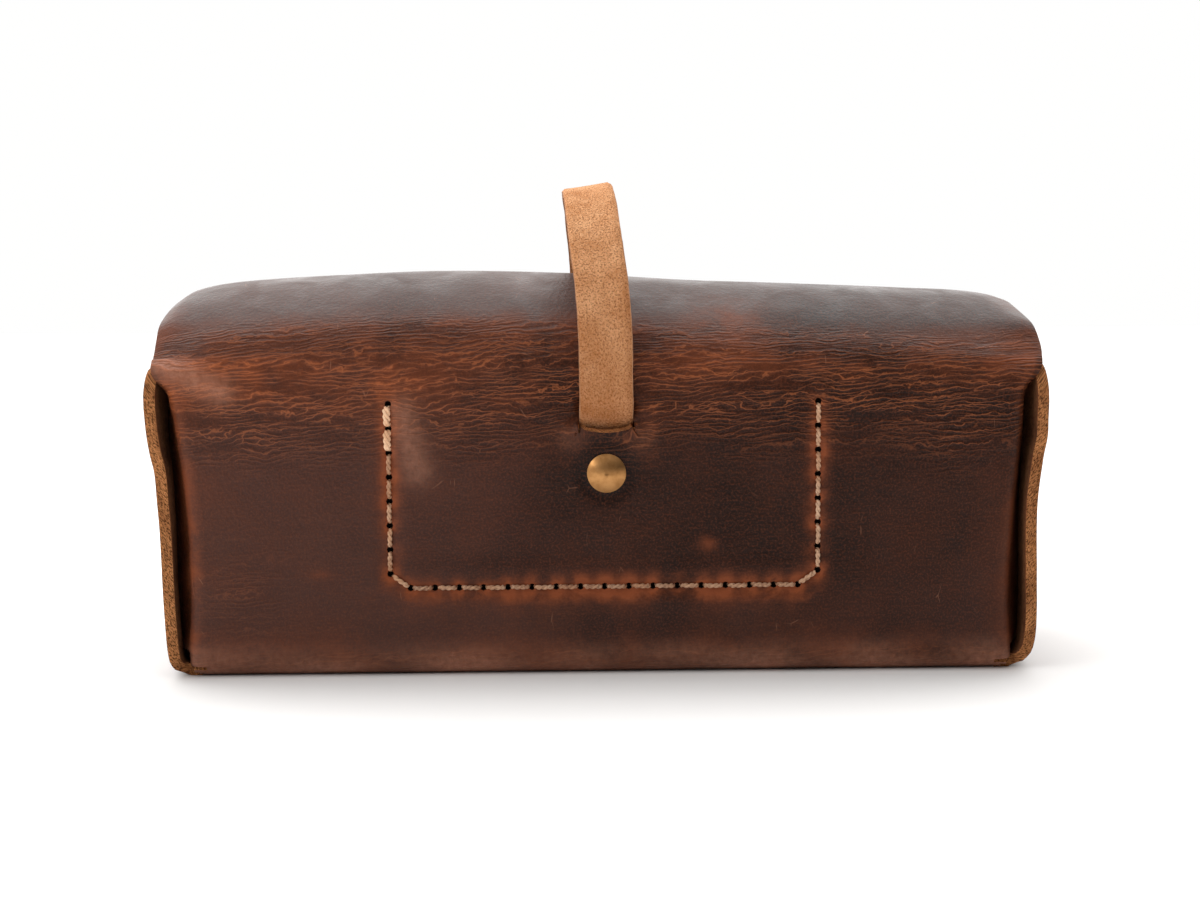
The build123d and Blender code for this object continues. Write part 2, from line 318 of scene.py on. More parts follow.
def sheetPiece(name, outer, inner, quads, flat, traits, skins, isRaw, holes=(), edgeRound=0.42):
    # a closed sheet of leather: grain face, flesh face and cut edges, with blind stitch holes
    used = sorted({k for quad in quads for k in quad})
    mesh = bmesh.new()
    layers = {word: mesh.verts.layers.float.new(word) for word in traits}
    flatU, flatV = mesh.verts.layers.float.new("flatU"), mesh.verts.layers.float.new("flatV")

    def mark(vert, k):
        for word, layer in layers.items():
            vert[layer] = traits[word][k]
        vert[flatU], vert[flatV] = flat[k]

    top, low = {}, {}
    for k in used:
        top[k] = mesh.verts.new(outer[k] * mm)
        low[k] = mesh.verts.new(inner[k] * mm)
        mark(top[k], k)
        mark(low[k], k)
        low[k][flatU] += hide["thick"] / 100
        low[k][flatV] += hide["thick"] / 100
    sides, faceOf, rims = set(), {}, []
    for quad in quads:
        face = mesh.faces.new([top[k] for k in quad])
        for k in quad:
            faceOf.setdefault(k, []).append(face)
        mesh.faces.new([low[k] for k in reversed(quad)]).material_index = 1
        for a, b in zip(quad, quad[1:] + quad[:1]):
            sides.add((a, b))
    for a, b in sides:
        if (b, a) not in sides:
            mesh.faces.new([top[b], top[a], low[a], low[b]]).material_index = 2
            if isRaw(a, b):
                rims += [(top[a], top[b]), (low[a], low[b])]
    for k in holes:
        if k in top and len(faceOf[k]) == 4:
            punchHole(mesh, top[k], faceOf[k], (outer[k] - inner[k]).normalized(),
                      lambda vert: mark(vert, k), stitch["holeRadius"], stitch["holeDepth"])
    edges = [mesh.edges.get((a, b)) for a, b in rims if a.is_valid and b.is_valid]
    edges = [edge for edge in edges if edge]
    if edges:
        bmesh.ops.bevel(mesh, geom=edges, offset=edgeRound * mm, offset_type="OFFSET", segments=2,
                        profile=0.55, affect="EDGES", clamp_overlap=True)
    layFlat(mesh, flatU, flatV)
    return giveMesh(name, mesh, skins)


# Finishes: leather, flesh side, thread, holes and metal.

def newFinish(name):
    finish = bpy.data.materials.new(name)
    finish.use_nodes = True
    return finish, finish.node_tree, finish.node_tree.nodes["Principled BSDF"]


def fill(tree, made, **sockets):
    # link or set sockets: n0, n1 and so on go by place, the others by name with _ for a space
    for key, value in sockets.items():
        socket = made.inputs[int(key[1:]) if key[0] == "n" and key[1:].isdigit() else key.replace("_", " ")]
        if isinstance(value, bpy.types.NodeSocket):
            tree.links.new(value, socket)
        else:
            socket.default_value = value


def node(tree, kind, settings=None, **sockets):
    made = tree.nodes.new(kind)
    for key, value in (settings or {}).items():
        setattr(made, key, value)
    fill(tree, made, **sockets)
    return made


def flatMap(tree):
    return node(tree, "ShaderNodeUVMap", {"uv_map": "flat"}).outputs["UV"]


def objectPlace(tree):
    return node(tree, "ShaderNodeTexCoord").outputs["Object"]


def stretch(tree, coords, across, up, shift=(0, 0, 0)):
    return node(tree, "ShaderNodeMapping", Vector=coords, Location=shift,
                Scale=(across, up, 1)).outputs["Vector"]


def clouds(tree, coords, scale, detail=3.0, rough=0.5, twist=0.0):
    return node(tree, "ShaderNodeTexNoise", Vector=coords, Scale=scale, Detail=detail,
                Roughness=rough, Distortion=twist).outputs["Fac"]


def cells(tree, coords, scale, feature="F1"):
    return node(tree, "ShaderNodeTexVoronoi", {"feature": feature}, Vector=coords,
                Scale=scale).outputs["Distance"]


def sums(tree, kind, a, b=0.0, c=0.0, clamp=False):
    return node(tree, "ShaderNodeMath", {"operation": kind, "use_clamp": clamp},
                n0=a, n1=b, n2=c).outputs[0]


def times(tree, a, b, clamp=False):
    return sums(tree, "MULTIPLY", a, b, clamp=clamp)


def highest(tree, values):
    first, second, third = values
    return sums(tree, "MAXIMUM", sums(tree, "MAXIMUM", first, second), third)


def window(tree, value, low, high, toLow=0.0, toHigh=1.0):
    return node(tree, "ShaderNodeMapRange", {"interpolation_type": "SMOOTHSTEP"}, Value=value,
                From_Min=low, From_Max=high, To_Min=toLow, To_Max=toHigh).outputs["Result"]


def blendTone(tree, share, first, second):
    return node(tree, "ShaderNodeMix", {"data_type": "RGBA"}, n0=share, n6=first, n7=second).outputs[2]


def trait(tree, name):
    return node(tree, "ShaderNodeAttribute", {"attribute_name": name}).outputs["Fac"]


def relief(tree, height, distance, strength=1.0, under=None):
    made = node(tree, "ShaderNodeBump", Height=height, Distance=distance, Strength=strength)
    if under is not None:
        tree.links.new(under, made.inputs["Normal"])
    return made.outputs["Normal"]


grain = {
    "dark": tone(17, 7, 4), "plum": tone(67, 42, 35), "orange": tone(132, 68, 38),
    "creaseTone": tone(190, 110, 66), "scuff": tone(160, 108, 82), "paleTone": tone(178, 124, 100),
    "poreTone": tone(24, 13, 10), "specular": 0.14, "roughness": 0.4,
    "creaseShade": 0.48, "creaseWear": 0.42, "scratchWear": 0.4, "poreShare": 0.35, "speckShare": 0.22,
    "creaseTilt": -0.07,     # the creases climb a little towards the right
    # spacing in mm, wander, jitter, length in mm and shift of each set of crease lines
    "creaseSets": ((1.2, 5.0, 0.8, 20, 0), (1.8, 5.0, 1.2, 26, 7), (0.85, 4.0, 0.8, 14, 13)),
}


def creaseLines(tree, flat):
    # worn crease lines: ripples that run along the case, wander, fork and fade
    along, upWay = [node(tree, "ShaderNodeSeparateXYZ", n0=flat).outputs[axis] for axis in ("X", "Y")]
    risen = sums(tree, "MULTIPLY_ADD", along, grain["creaseTilt"], upWay)
    crests, ripples = [], []
    for spacing, wander, jitter, length, shift in grain["creaseSets"]:
        drift = clouds(tree, stretch(tree, flat, 9, 15, (shift, 1, 0)), 1.0, 1.5)
        quick = clouds(tree, stretch(tree, flat, 55, 75, (shift, 4, 0)), 1.0, 2)
        level = sums(tree, "MULTIPLY_ADD", risen, 100 / spacing, times(tree, drift, wander))
        level = sums(tree, "MULTIPLY_ADD", quick, jitter, level)
        away = sums(tree, "PINGPONG", level, 0.5)
        patches = clouds(tree, stretch(tree, flat, 100 / length, 34, (shift, 9, 0)), 1.0, 3, 0.6)
        shown = window(tree, patches, 0.42, 0.6)
        crests.append(times(tree, window(tree, away, 0.0, 0.13, 1, 0), shown))
        ripples.append(times(tree, window(tree, away, 0.0, 0.5, 1, 0), shown))
    return highest(tree, crests), highest(tree, ripples)


def caseLeather():
    finish, tree, shader = newFinish("caseLeather")
    flat = flatMap(tree)
    warm, crease = trait(tree, "warm"), trait(tree, "crease")
    slow = clouds(tree, flat, 3.2, 3, 0.55, 0.4)
    middle = clouds(tree, flat, 11, 4, 0.6, 0.6)
    fine = clouds(tree, flat, 60, 4, 0.65)
    speck = clouds(tree, flat, 210, 3, 0.6)

    # dark ground, plum where the wax has come up and orange where the hide has been bent; both also carry
    # painted light and shade
    hazy = sums(tree, "MULTIPLY_ADD", slow, 0.7, times(tree, trait(tree, "plum"), 0.9))
    base = blendTone(tree, window(tree, hazy, 0.3, 1.25), grain["dark"], grain["plum"])
    cloudy = sums(tree, "MULTIPLY_ADD", middle, 0.9, times(tree, fine, 0.35))
    cloudy = sums(tree, "MULTIPLY_ADD", sums(tree, "SUBTRACT", slow, 0.5), 1.1, cloudy)
    glow = times(tree, warm, window(tree, cloudy, 0.38, 0.86, 0.2, 1.25), True)
    base = blendTone(tree, glow, base, grain["orange"])

    crests, ripples = creaseLines(tree, flat)
    worn = times(tree, crests, crease, True)
    wrinkles = times(tree, ripples, crease)
    hollows = sums(tree, "SUBTRACT", crease, wrinkles, clamp=True)
    base = blendTone(tree, times(tree, hollows, grain["creaseShade"]), base, grain["dark"])
    base = blendTone(tree, times(tree, worn, grain["creaseWear"]), base, grain["creaseTone"])
    # painted light: painted highlights and painted floor bounce, blended in the pale tone
    paintedLight = times(tree, trait(tree, "paintedLight"), window(tree, fine, 0.2, 0.8, 0.3, 0.75))
    base = blendTone(tree, paintedLight, base, grain["paleTone"])

    # scratches, pores and specks
    wobble = node(tree, "ShaderNodeTexNoise", Vector=flat, Scale=9.0, Detail=2.0).outputs["Color"]
    bent = node(tree, "ShaderNodeVectorMath", {"operation": "MULTIPLY_ADD"}, n0=wobble,
                n1=(0.05, 0.022, 0), n2=flat).outputs[0]
    scratchCells = cells(tree, stretch(tree, bent, 14, 5, (1, 4, 0)), 1.0, "DISTANCE_TO_EDGE")
    rare = window(tree, clouds(tree, flat, 14, 2), 0.64, 0.72)
    scratch = times(tree, window(tree, scratchCells, 0.0, 0.012, 1, 0), rare)
    base = blendTone(tree, times(tree, scratch, grain["scratchWear"]), base, grain["scuff"])
    pores = window(tree, cells(tree, flat, 150), 0.12, 0.0, 0, grain["poreShare"])
    base = blendTone(tree, pores, base, grain["poreTone"])
    base = blendTone(tree, window(tree, speck, 0.44, 0.68, 0, grain["speckShare"]), base, grain["orange"])

    rough = window(tree, sums(tree, "ADD", middle, times(tree, speck, 0.4)), 0.4, 0.95,
                   grain["roughness"] - 0.06, grain["roughness"] + 0.12)
    pebble = sums(tree, "ADD", cells(tree, flat, 120, "SMOOTH_F1"), times(tree, speck, 0.8))
    bump = relief(tree, pebble, 0.00012, 0.55)
    bump = relief(tree, sums(tree, "ADD", fine, times(tree, middle, 1.5)), 0.0003, 0.2, bump)
    bump = relief(tree, wrinkles, 0.00022, 0.8, bump)
    fill(tree, shader, Base_Color=base, Roughness=rough, Specular_IOR_Level=grain["specular"], Normal=bump)
    return finish


# the strap's soiling, which also paints shade on its lower run, uses the soil tone and share here
flesh = {"soilTone": tone(146, 84, 42), "soilAndShadeShare": 0.8, "specular": 0.06}


def suede(name, light, dark, speckle, rough=0.9, nap=0.00018, soilAndShadeTrait=None, scale=1.0,
          speckShare=0.75, speckFrom=0.58):
    # flesh side and cut edges: fibres, specks and soft soiling, which on the strap also carries painted
    # shade
    finish, tree, shader = newFinish(name)
    flat = flatMap(tree)
    slow = clouds(tree, flat, 9 * scale, 4, 0.6, 0.5)
    fibre = clouds(tree, stretch(tree, flat, 120 * scale, 80 * scale), 1.0, 5, 0.75, 0.8)
    dots = clouds(tree, flat, 150 * scale, 3, 0.55)
    mottle = sums(tree, "MULTIPLY_ADD", fibre, 0.6, times(tree, slow, 0.5))
    base = blendTone(tree, window(tree, mottle, 0.35, 0.75), dark, light)
    base = blendTone(tree, window(tree, dots, speckFrom, speckFrom + 0.12, 0, speckShare), base, speckle)
    if soilAndShadeTrait:
        soiled = times(tree, trait(tree, soilAndShadeTrait), flesh["soilAndShadeShare"])
        base = blendTone(tree, soiled, base, flesh["soilTone"])
    fill(tree, shader, Base_Color=base, Roughness=rough, Specular_IOR_Level=flesh["specular"],
         Normal=relief(tree, sums(tree, "ADD", fibre, dots), nap, 0.8))
    return finish


twine = {
    "dull": tone(216, 164, 124), "clean": tone(246, 206, 170), "soilTone": tone(118, 76, 54),
    "roughness": 0.55, "specular": 0.35,
}


def waxedThread():
    finish, tree, shader = newFinish("waxedThread")
    place = objectPlace(tree)
    fluff = clouds(tree, place, 1400, 4, 0.6)
    patch = clouds(tree, place, 160, 3)
    base = blendTone(tree, window(tree, patch, 0.35, 0.7), twine["dull"], twine["clean"])
    soiled = times(tree, trait(tree, "soil"), window(tree, fluff, 0.3, 0.75, 0.55, 1.0))
    base = blendTone(tree, soiled, base, twine["soilTone"])
    fill(tree, shader, Base_Color=base, Roughness=twine["roughness"], Specular_IOR_Level=twine["specular"],
         Normal=relief(tree, fluff, 0.00008, 0.6))
    return finish


def stitchHoleShade():
    finish, tree, shader = newFinish("stitchHoleShade")
    # painted shade: the hole walls and floors are painted near black
    base = blendTone(tree, clouds(tree, flatMap(tree), 200, 3), tone(10, 5, 4), tone(36, 19, 13))
    fill(tree, shader, Base_Color=base, Roughness=0.9, Specular_IOR_Level=0.1)
    return finish


def metalFinish(name, bright, dull, rough, spotty, spotTone=tone(70, 42, 22), dome=None):
    finish, tree, shader = newFinish(name)
    place = objectPlace(tree)
    cloud = clouds(tree, place, 420, 4, 0.6)
    spots = clouds(tree, place, 1900, 3, 0.6)
    base = blendTone(tree, window(tree, cloud, 0.35, 0.7), dull, bright)
    base = blendTone(tree, window(tree, spots, 0.58, 0.75, 0, spotty), base, spotTone)
    scrape = clouds(tree, node(tree, "ShaderNodeMapping", Vector=place, Scale=(2600, 300, 300),
                               Rotation=(0.2, 0.4, 0.3)).outputs["Vector"], 1.0, 3)
    bump = relief(tree, sums(tree, "ADD", scrape, spots), 0.00001, 0.5)
    if dome:
        # worn rounder than it was made: the face falls away towards its rim
        (centreX, centreZ), steep = dome
        away = node(tree, "ShaderNodeVectorMath", {"operation": "MULTIPLY_ADD"}, n0=place,
                    n1=(250, 0, 250), n2=(-centreX / 4, 0, -centreZ / 4)).outputs[0]
        far = node(tree, "ShaderNodeVectorMath", {"operation": "DOT_PRODUCT"}, n0=away, n1=away)
        bump = relief(tree, times(tree, far.outputs["Value"], -steep), 0.001, 1.0, bump)
    fill(tree, shader, Base_Color=base, Metallic=1.0, Normal=bump,
         Roughness=window(tree, cloud, 0.3, 0.75, rough + 0.1, rough - 0.05))
    return finish


leatherFace = caseLeather()
fleshSide = suede("caseFleshSide", tone(124, 82, 54), tone(80, 48, 31), tone(52, 30, 19))
rawEdge = suede("caseCutEdge", tone(214, 146, 92), tone(128, 78, 46), tone(52, 28, 16), nap=0.0005,
                scale=1.6, speckShare=0.8, speckFrom=0.47)
holeShade = stitchHoleShade()
strapFace = suede("strapSuede", tone(240, 182, 134), tone(190, 126, 78), tone(96, 52, 28), nap=0.0004,
                  soilAndShadeTrait="soil", scale=1.7, speckShare=0.6, speckFrom=0.5)
strapCut = suede("strapCutEdge", tone(196, 148, 114), tone(156, 106, 74), tone(96, 60, 42))
pocketFace = suede("pocketLeather", tone(132, 88, 62), tone(98, 62, 42), tone(66, 40, 28), rough=0.7)
threadSkin = waxedThread()
brass = {"bright": tone(182, 134, 84), "dull": tone(160, 114, 68), "rough": 0.36, "spotty": 0.2}
agedBrass = metalFinish("antiqueBrass", **brass)
rivetBrass = metalFinish("rivetBrass", **brass, dome=((strapX, rivetZ), 0.35))
nickel = metalFinish("nickelPlate", tone(190, 184, 174), tone(160, 154, 146), 0.32, 0.0)
caseSkins = [leatherFace, fleshSide, rawEdge, holeShade]
print("finishes ready")


# The hide: front panel, base, back panel, crown and the lid's front, worked out as one sheet.

def hideRows():
    # stations along the hide: place, outward direction and length so far
    bend, back, front = hide["baseBend"], backY, frontY
    rows = []

    def add(zone, y, z, ny):
        length = 0.0
        if rows:
            length = rows[-1]["s"] + hypot(y - rows[-1]["y"], z - rows[-1]["z"])
        rows.append({"zone": zone, "y": y, "z": z, "ny": ny, "s": length})

    def turn(zone, cy, cz, radius, start, end, count):
        for i in range(1, count + 1):
            a = radians(start + (end - start) * i / count)
            add(zone, cy + radius * cos(a), cz + radius * sin(a), cos(a))

    z = shellHigh.z - hide["frontDrop"]
    while z > hide["straightLow"] + 0.6:
        add("front", front, z, 1)
        z -= 1.5
    add("front", front, hide["straightLow"], 1)
    add("frontBend", front, bend, 1)
    turn("frontBend", front - bend, bend, bend, 0, -90, arcSteps["frontBend"])
    count = arcSteps["base"]
    for i in range(1, count):
        add("base", front - bend + (back - front + 2 * bend) * i / count, 0, 0)
    add("backBend", back + bend, 0, 0)
    turn("backBend", back + bend, bend, bend, -90, -180, arcSteps["backBend"])
    z = hide["straightLow"]
    while z < shellHigh.z:
        add("back", back, z, -1)
        z += 1.0
    add("back", back, hingeZ, -1)
    # the crown is one wide arc between the two shoulders
    backMid, frontMid = back + hide["backShoulder"], lidFrontY - hide["frontShoulder"]
    apart = frontMid - backMid
    toBack = hide["crownRadius"] - hide["backShoulder"]
    toFront = hide["crownRadius"] - hide["frontShoulder"]
    part = (toBack ** 2 - toFront ** 2 + apart ** 2) / (2 * apart)
    crownY, crownZ = backMid + part, hingeZ - sqrt(toBack ** 2 - part ** 2)
    backTurn, frontTurn = [degrees(Vector((mid - crownY, hingeZ - crownZ)).angle_signed(Vector((1, 0))))
                           for mid in (backMid, frontMid)]
    turn("lid", backMid, hingeZ, hide["backShoulder"], 180, backTurn, arcSteps["backShoulder"])
    turn("lid", crownY, crownZ, hide["crownRadius"], backTurn, frontTurn, arcSteps["crown"])
    turn("lid", frontMid, hingeZ, hide["frontShoulder"], frontTurn, 0, arcSteps["frontShoulder"])
    z = hingeZ - 1.0
    while z > lidLow.z + 0.3:
        add("lidDrop", lidFrontY, z, 1)
        z -= 1.0
    add("lidDrop", lidFrontY, lidLow.z, 1)
    return rows


def easeShoulder(rows):
    # the hide bends over softly at the hinge, not in a tight fold
    spread = hide["shoulderEase"]
    moved = {}
    for i, row in enumerate(rows):
        if row["zone"] in ("back", "lid") and (row["y"] < -8 and row["z"] > 50):
            share = ease(row["z"], *hide["softHeights"]) * (1 - ease(row["y"], *hide["softDepths"]))
            y = z = weight = 0.0
            for other in rows:
                if other["zone"] in ("back", "lid"):
                    w = bell(other["s"] - row["s"], spread)
                    y, z, weight = y + w * other["y"], z + w * other["z"], weight + w
            moved[i] = (row["y"] + (y / weight - row["y"]) * share,
                        row["z"] + (z / weight - row["z"]) * share)
    for i, (y, z) in moved.items():
        rows[i]["y"], rows[i]["z"] = y, z


rows = hideRows()
easeShoulder(rows)
print("hide rows", len(rows), "length", round(rows[-1]["s"], 1))

# columns stand on the seam's holes and one millimetre apart elsewhere
columns = [float(x) for x in (*range(-86, -45), -45.1, -44.1, -43.1, -42.1, -41, *range(-40, 42),
                              42, 43.05, 44.1, 45.1, 46.1, *range(47, 87))]
foldStops = [hide["foldLength"] * (i + 1) / 6 for i in range(6)]
flangeStops = [hide["foldLength"] + hide["flangeStep"] * (i + 1) for i in range(10)]
endKey = 1000            # columns numbered from here lie in the turned-in ends


def bentRun(angle, share, stops):
    # a panel's end turned in behind the wing, as (outward, inward) steps at the given lengths
    x, y, done, out, step = 0.0, 0.0, 0.0, [], 0.1
    while len(out) < len(stops):
        a = angle * share * ease(done + step / 2, 0, hide["foldLength"])
        a += (90 - angle) * share * ease(done + step / 2, *hide["flangeTurn"])
        x += step * cos(radians(a))
        y += step * sin(radians(a))
        done += step
        if done >= stops[len(out)] - 1e-6:
            out.append((x, y))
    return out


def turnedEnd(first, depthTarget):
    # the bend that brings the end of the fold up against the wing
    low, high = 45.0, 92.0
    for _ in range(16):
        middle = (low + high) / 2
        if bentRun(middle, 1.0, flangeStops)[-1][0] > depthTarget - first:
            low = middle
        else:
            high = middle
    return (low + high) / 2


def rowEnd(row, side):
    # where the flat part ends, how much of the fold is there, and its bend
    z, zone, flatEnd, bend = row["z"], row["zone"], hide["flatEnd"], hide["foldBend"]
    clear, deep = wing["thick"] + wing["gap"], hide["flangeDepth"]
    if zone in ("front", "back") and z <= hide["flangeTop"]:
        first = foldOutline[side](z) - hide["foldStep"]
        target = wingOuter(side, backY + deep if zone == "back" else frontY - deep, z) - clear
        return first, turnedEnd(first, target), 1.0, len(foldStops), len(flangeStops)
    if zone in ("front", "back"):
        low = foldOutline[side](hide["flangeTop"]) - hide["foldStep"]
        share = ease(z, hide["flangeTop"], hide["flattenTop"])
        return low + (flatEnd - low) * share, bend, 1 - share, len(foldStops), 0
    if zone in ("lid", "lidDrop"):
        return flatEnd, bend, 0.0, len(foldStops), 0
    low = foldOutline[side](max(z, hide["slit"])) - hide["foldStep"]
    if z > hide["slit"]:
        return low, hide["lowBend"], 1.0, len(foldStops), 4
    return low, bend, 0.0, 3 if z > 0.6 else 2, 0


outer, flat, gridIndex, rowOf, xOf = [], [], {}, [], []


def addPoint(i, key, place, x):
    gridIndex[i, key] = len(outer)
    outer.append(Vector(place))
    flat.append((x / 100, rows[i]["s"] / 100))
    rowOf.append(i)
    xOf.append(x)


spreadFrom = 55          # beyond this the columns close up to meet the fold
for i, row in enumerate(rows):
    ends = {side: rowEnd(row, side) for side in (-1, 1)}
    for side, (first, angle, share, folds, flanges) in ends.items():
        stops = foldStops[:folds] + flangeStops[:flanges]
        inward = -1 if row["zone"].startswith("front") else 1
        for n, (out, depth) in enumerate(bentRun(angle, share, stops)):
            addPoint(i, side * (endKey + n), (side * (first + out), row["y"] + inward * depth, row["z"]),
                     side * (hide["flatEnd"] + stops[n]))
    for j, x in enumerate(columns):
        end = ends[-1 if x < 0 else 1][0]
        far = abs(x)
        if far > spreadFrom:
            far = spreadFrom + (far - spreadFrom) * (end - spreadFrom) / (86 - spreadFrom)
        addPoint(i, j, (far if x > 0 else -far, row["y"], row["z"]), x)

slot = {
    "left": -4.5, "right": 7.5, "under": 49.2, "over": 53.8,     # the columns and rows it takes
    "low": 50.45, "lowRise": 1.05,       # the lip, pressed down in the middle
    "high": 54.2, "highDrop": 0.2,
    "half": 5.75, "reach": 5.8, "corner": 0.5, "cornerRise": 0.25,
    "lipPush": 2.3, "topSink": 1.6,      # the strap slides in behind the lip
    "lipThin": 0.62, "lipDrop": 0.2,     # the lip shows its cut edge
}
endKeys = [endKey + n for n in range(len(foldStops) + len(flangeStops))]
order = [-key for key in reversed(endKeys)] + list(range(len(columns))) + endKeys
slotColumns = [j for j, x in enumerate(columns) if slot["left"] < x < slot["right"]]
slotRows = [i for i, row in enumerate(rows)
            if row["zone"] == "back" and slot["under"] < row["z"] < slot["over"]]
quads, quadRow = [], []
for i in range(len(rows) - 1):
    slitHere = (rows[i]["z"] > hide["slit"]) != (rows[i + 1]["z"] > hide["slit"])
    for a, b in zip(order, order[1:]):
        keys = [(i, a), (i, b), (i + 1, b), (i + 1, a)]
        inSlot = i in slotRows and i + 1 in slotRows and a in slotColumns and b in slotColumns
        cut = slitHere and (abs(a) >= endKey or abs(b) >= endKey)
        if cut or inSlot or not all(key in gridIndex for key in keys):
            continue
        quads.append([gridIndex[key] for key in keys])
        quadRow.append(i)

# the slot's own outline, with raised ends and rounded corners
for i in slotRows:
    lowEdge, highEdge = i == slotRows[0], i == slotRows[-1]
    for j in slotColumns:
        point = outer[gridIndex[i, j]]
        across = (columns[j] - strapX) / slot["reach"]
        if lowEdge:
            point.z = slot["low"] + slot["lowRise"] * across ** 2
        elif highEdge:
            point.z = slot["high"] - slot["highDrop"] * across ** 2
        if j in (slotColumns[0], slotColumns[-1]):
            half = slot["half"] - (slot["corner"] if lowEdge or highEdge else 0)
            point.x = strapX + (-half if j == slotColumns[0] else half)
            point.z += slot["cornerRise"] if lowEdge else -slot["cornerRise"] if highEdge else 0

crown = {
    "riseFrom": 63, "riseTo": 72.5, "endFrom": 78, "endTo": 91.5,
    "backEndDroop": 0.42,                # the share of the rise that the ends lose near the back
    "backPull": 2.6, "frontPull": 1.6,   # the ends are drawn in from the back and the front
    "rightOut": 1.0, "rightUp": 0.35,    # the right end flares a little
}
# the crown's own shape: higher on the left, drooping at its ends
for k, point in enumerate(outer):
    row, x = rows[rowOf[k]], xOf[k]
    if row["zone"] in ("back", "lid", "lidDrop"):
        y, z = row["y"] - backY, row["z"]
        lift = (crownHeight(x) - crownMiddle) * ease(z, crown["riseFrom"], crown["riseTo"])
        toEnd = ease(abs(x), crown["endFrom"], crown["endTo"])
        point.z += lift * (1 - crown["backEndDroop"] * toEnd * (1 - ease(y, 4, 25)))
        if x > 0:
            point.x += crown["rightOut"] * ease(x, 82, crown["endTo"]) * bell(z - 70, 6)
            point.z += crown["rightUp"] * bell(x - 84, 10) * ease(z, 68, 74)
        point.y += crown["backPull"] * toEnd * ease(z, 60.5, 67.5) * (1 - ease(y, 2, 12))
        if row["zone"] != "back":
            point.y -= crown["frontPull"] * toEnd * ease(z, 60, 70) * ease(row["ny"], 0.0, 0.9)

# how deep the marks of wear and making are pressed or raised, and how far from their middles
press = {
    "creaseLift": 0.13, "seamLip": 0.12, "seamLipAt": 3.6,
    "rivetDish": 0.3, "rivetRing": 0.4, "rivetRingAt": 4.9,
    "slotRim": 0.5, "slotRimAt": 5.5,
}
# where the colour has changed with wear, and where highlights and floor bounce are painted
wear = {
    # start, end, width and strength of the soft ridges, which stand out and carry a painted highlight
    "ridges": [((-92, 66), (-78, 59.5), 3.2, 0.55), ((-40.4, 55), (-37.2, 43), 3.4, 0.4)],
    # place, reach and strength of the rubbed spots
    "spots": [(22.2, 27.2, 1.9, 1.5, 0.6), (-57, 21.5, 3.2, 0.9, 0.3), (-84.5, 60, 5, 5, 0.35)],
    "ridgeHighlight": 1.6, "ridgeHighlightWidth": 0.9,
    "bandGlow": 0.8, "bandHeight": 63, "bandWidth": 7.5,       # the warm band under the crown
    "holeGlow": 1.5, "holeReach": 1.75, "seamGlow": 0.35,
    # painted highlight at the slot's ends
    "slotHighlight": 0.9, "slotReach": 3.2,
    "baseFloorBounce": 0.9,                                          # painted floor bounce, paler on the roll along the base
}


def creaseShare(row, x):
    # how much of the worn crease lines shows
    zone, y, z = row["zone"], row["y"], row["z"]
    if zone == "back":
        return (max(0.07, ease(z + 6 * wave(x / 15, 3.5, 9.1), 41, 58))
                + 0.25 * bell(hypot((x + 77) / 9, (z - 17) / 9), 1))
    if zone == "lid":
        return 0.75 - 0.72 * ease(y, backY + 1.5, backY + 9) + 0.4 * ease(row["ny"], 0.15, 0.9)
    if zone == "lidDrop":
        return 0.08 + 0.37 * ease(z + 3 * wave(x / 18, 1.5, 2.5), hingeZ - 14, hingeZ)
    return 0.35 if zone.endswith("Bend") else 0.1


def outwardPush(row, x, near, crease):
    # how far the leather stands out from its plain shape
    zone, z, s = row["zone"], row["z"], row["s"]
    lumps = 0.1 if zone == "lid" else 0.4
    push = hide["swell"] * (wave(x / 40, s / 27, 3.1) + lumps * wave(x / 12, s / 8, 7.7))
    push *= 1 - 0.8 * bell(near, 3)
    push += press["creaseLift"] * crease * wave(x / 16, s / 1.9, 1.3)
    push -= hide["seamPull"] * bell(near, 1.5)
    push += press["seamLip"] * bell(near - press["seamLipAt"], 1.6)
    if zone == "back":
        rivetFar, aside = hypot(x - strapX, z - rivetZ), abs(x - strapX)
        push -= press["rivetDish"] * bell(rivetFar, 6)
        push -= press["rivetRing"] * bell(rivetFar - press["rivetRingAt"], 0.9)
        for start, end, width, much in wear["ridges"]:
            push += much * bell(lineDistance(x, z, start, end), width)
        if z < 52:
            push += slot["lipPush"] * bell(max(0, 51.3 - z), 3.6) * bell(max(0, aside - 3.4), 3.4)
        else:
            offEdge = max(0, 54.5 - z) + max(0, z - 55.5)
            push -= slot["topSink"] * bell(offEdge, 2.2) * bell(max(0, aside - 4.6), 2.2)
        slotFar = hypot(max(0, aside - 5), z - 52)
        push += press["slotRim"] * bell(slotFar - press["slotRimAt"], 2.4) * (1 if z > 52 else 0.35)
    if zone == "base":
        push *= 0.3
    if z < 1.2:
        push = -abs(push) * 0.3
    return push * (1 - 0.7 * ease(abs(x), 92, 98))


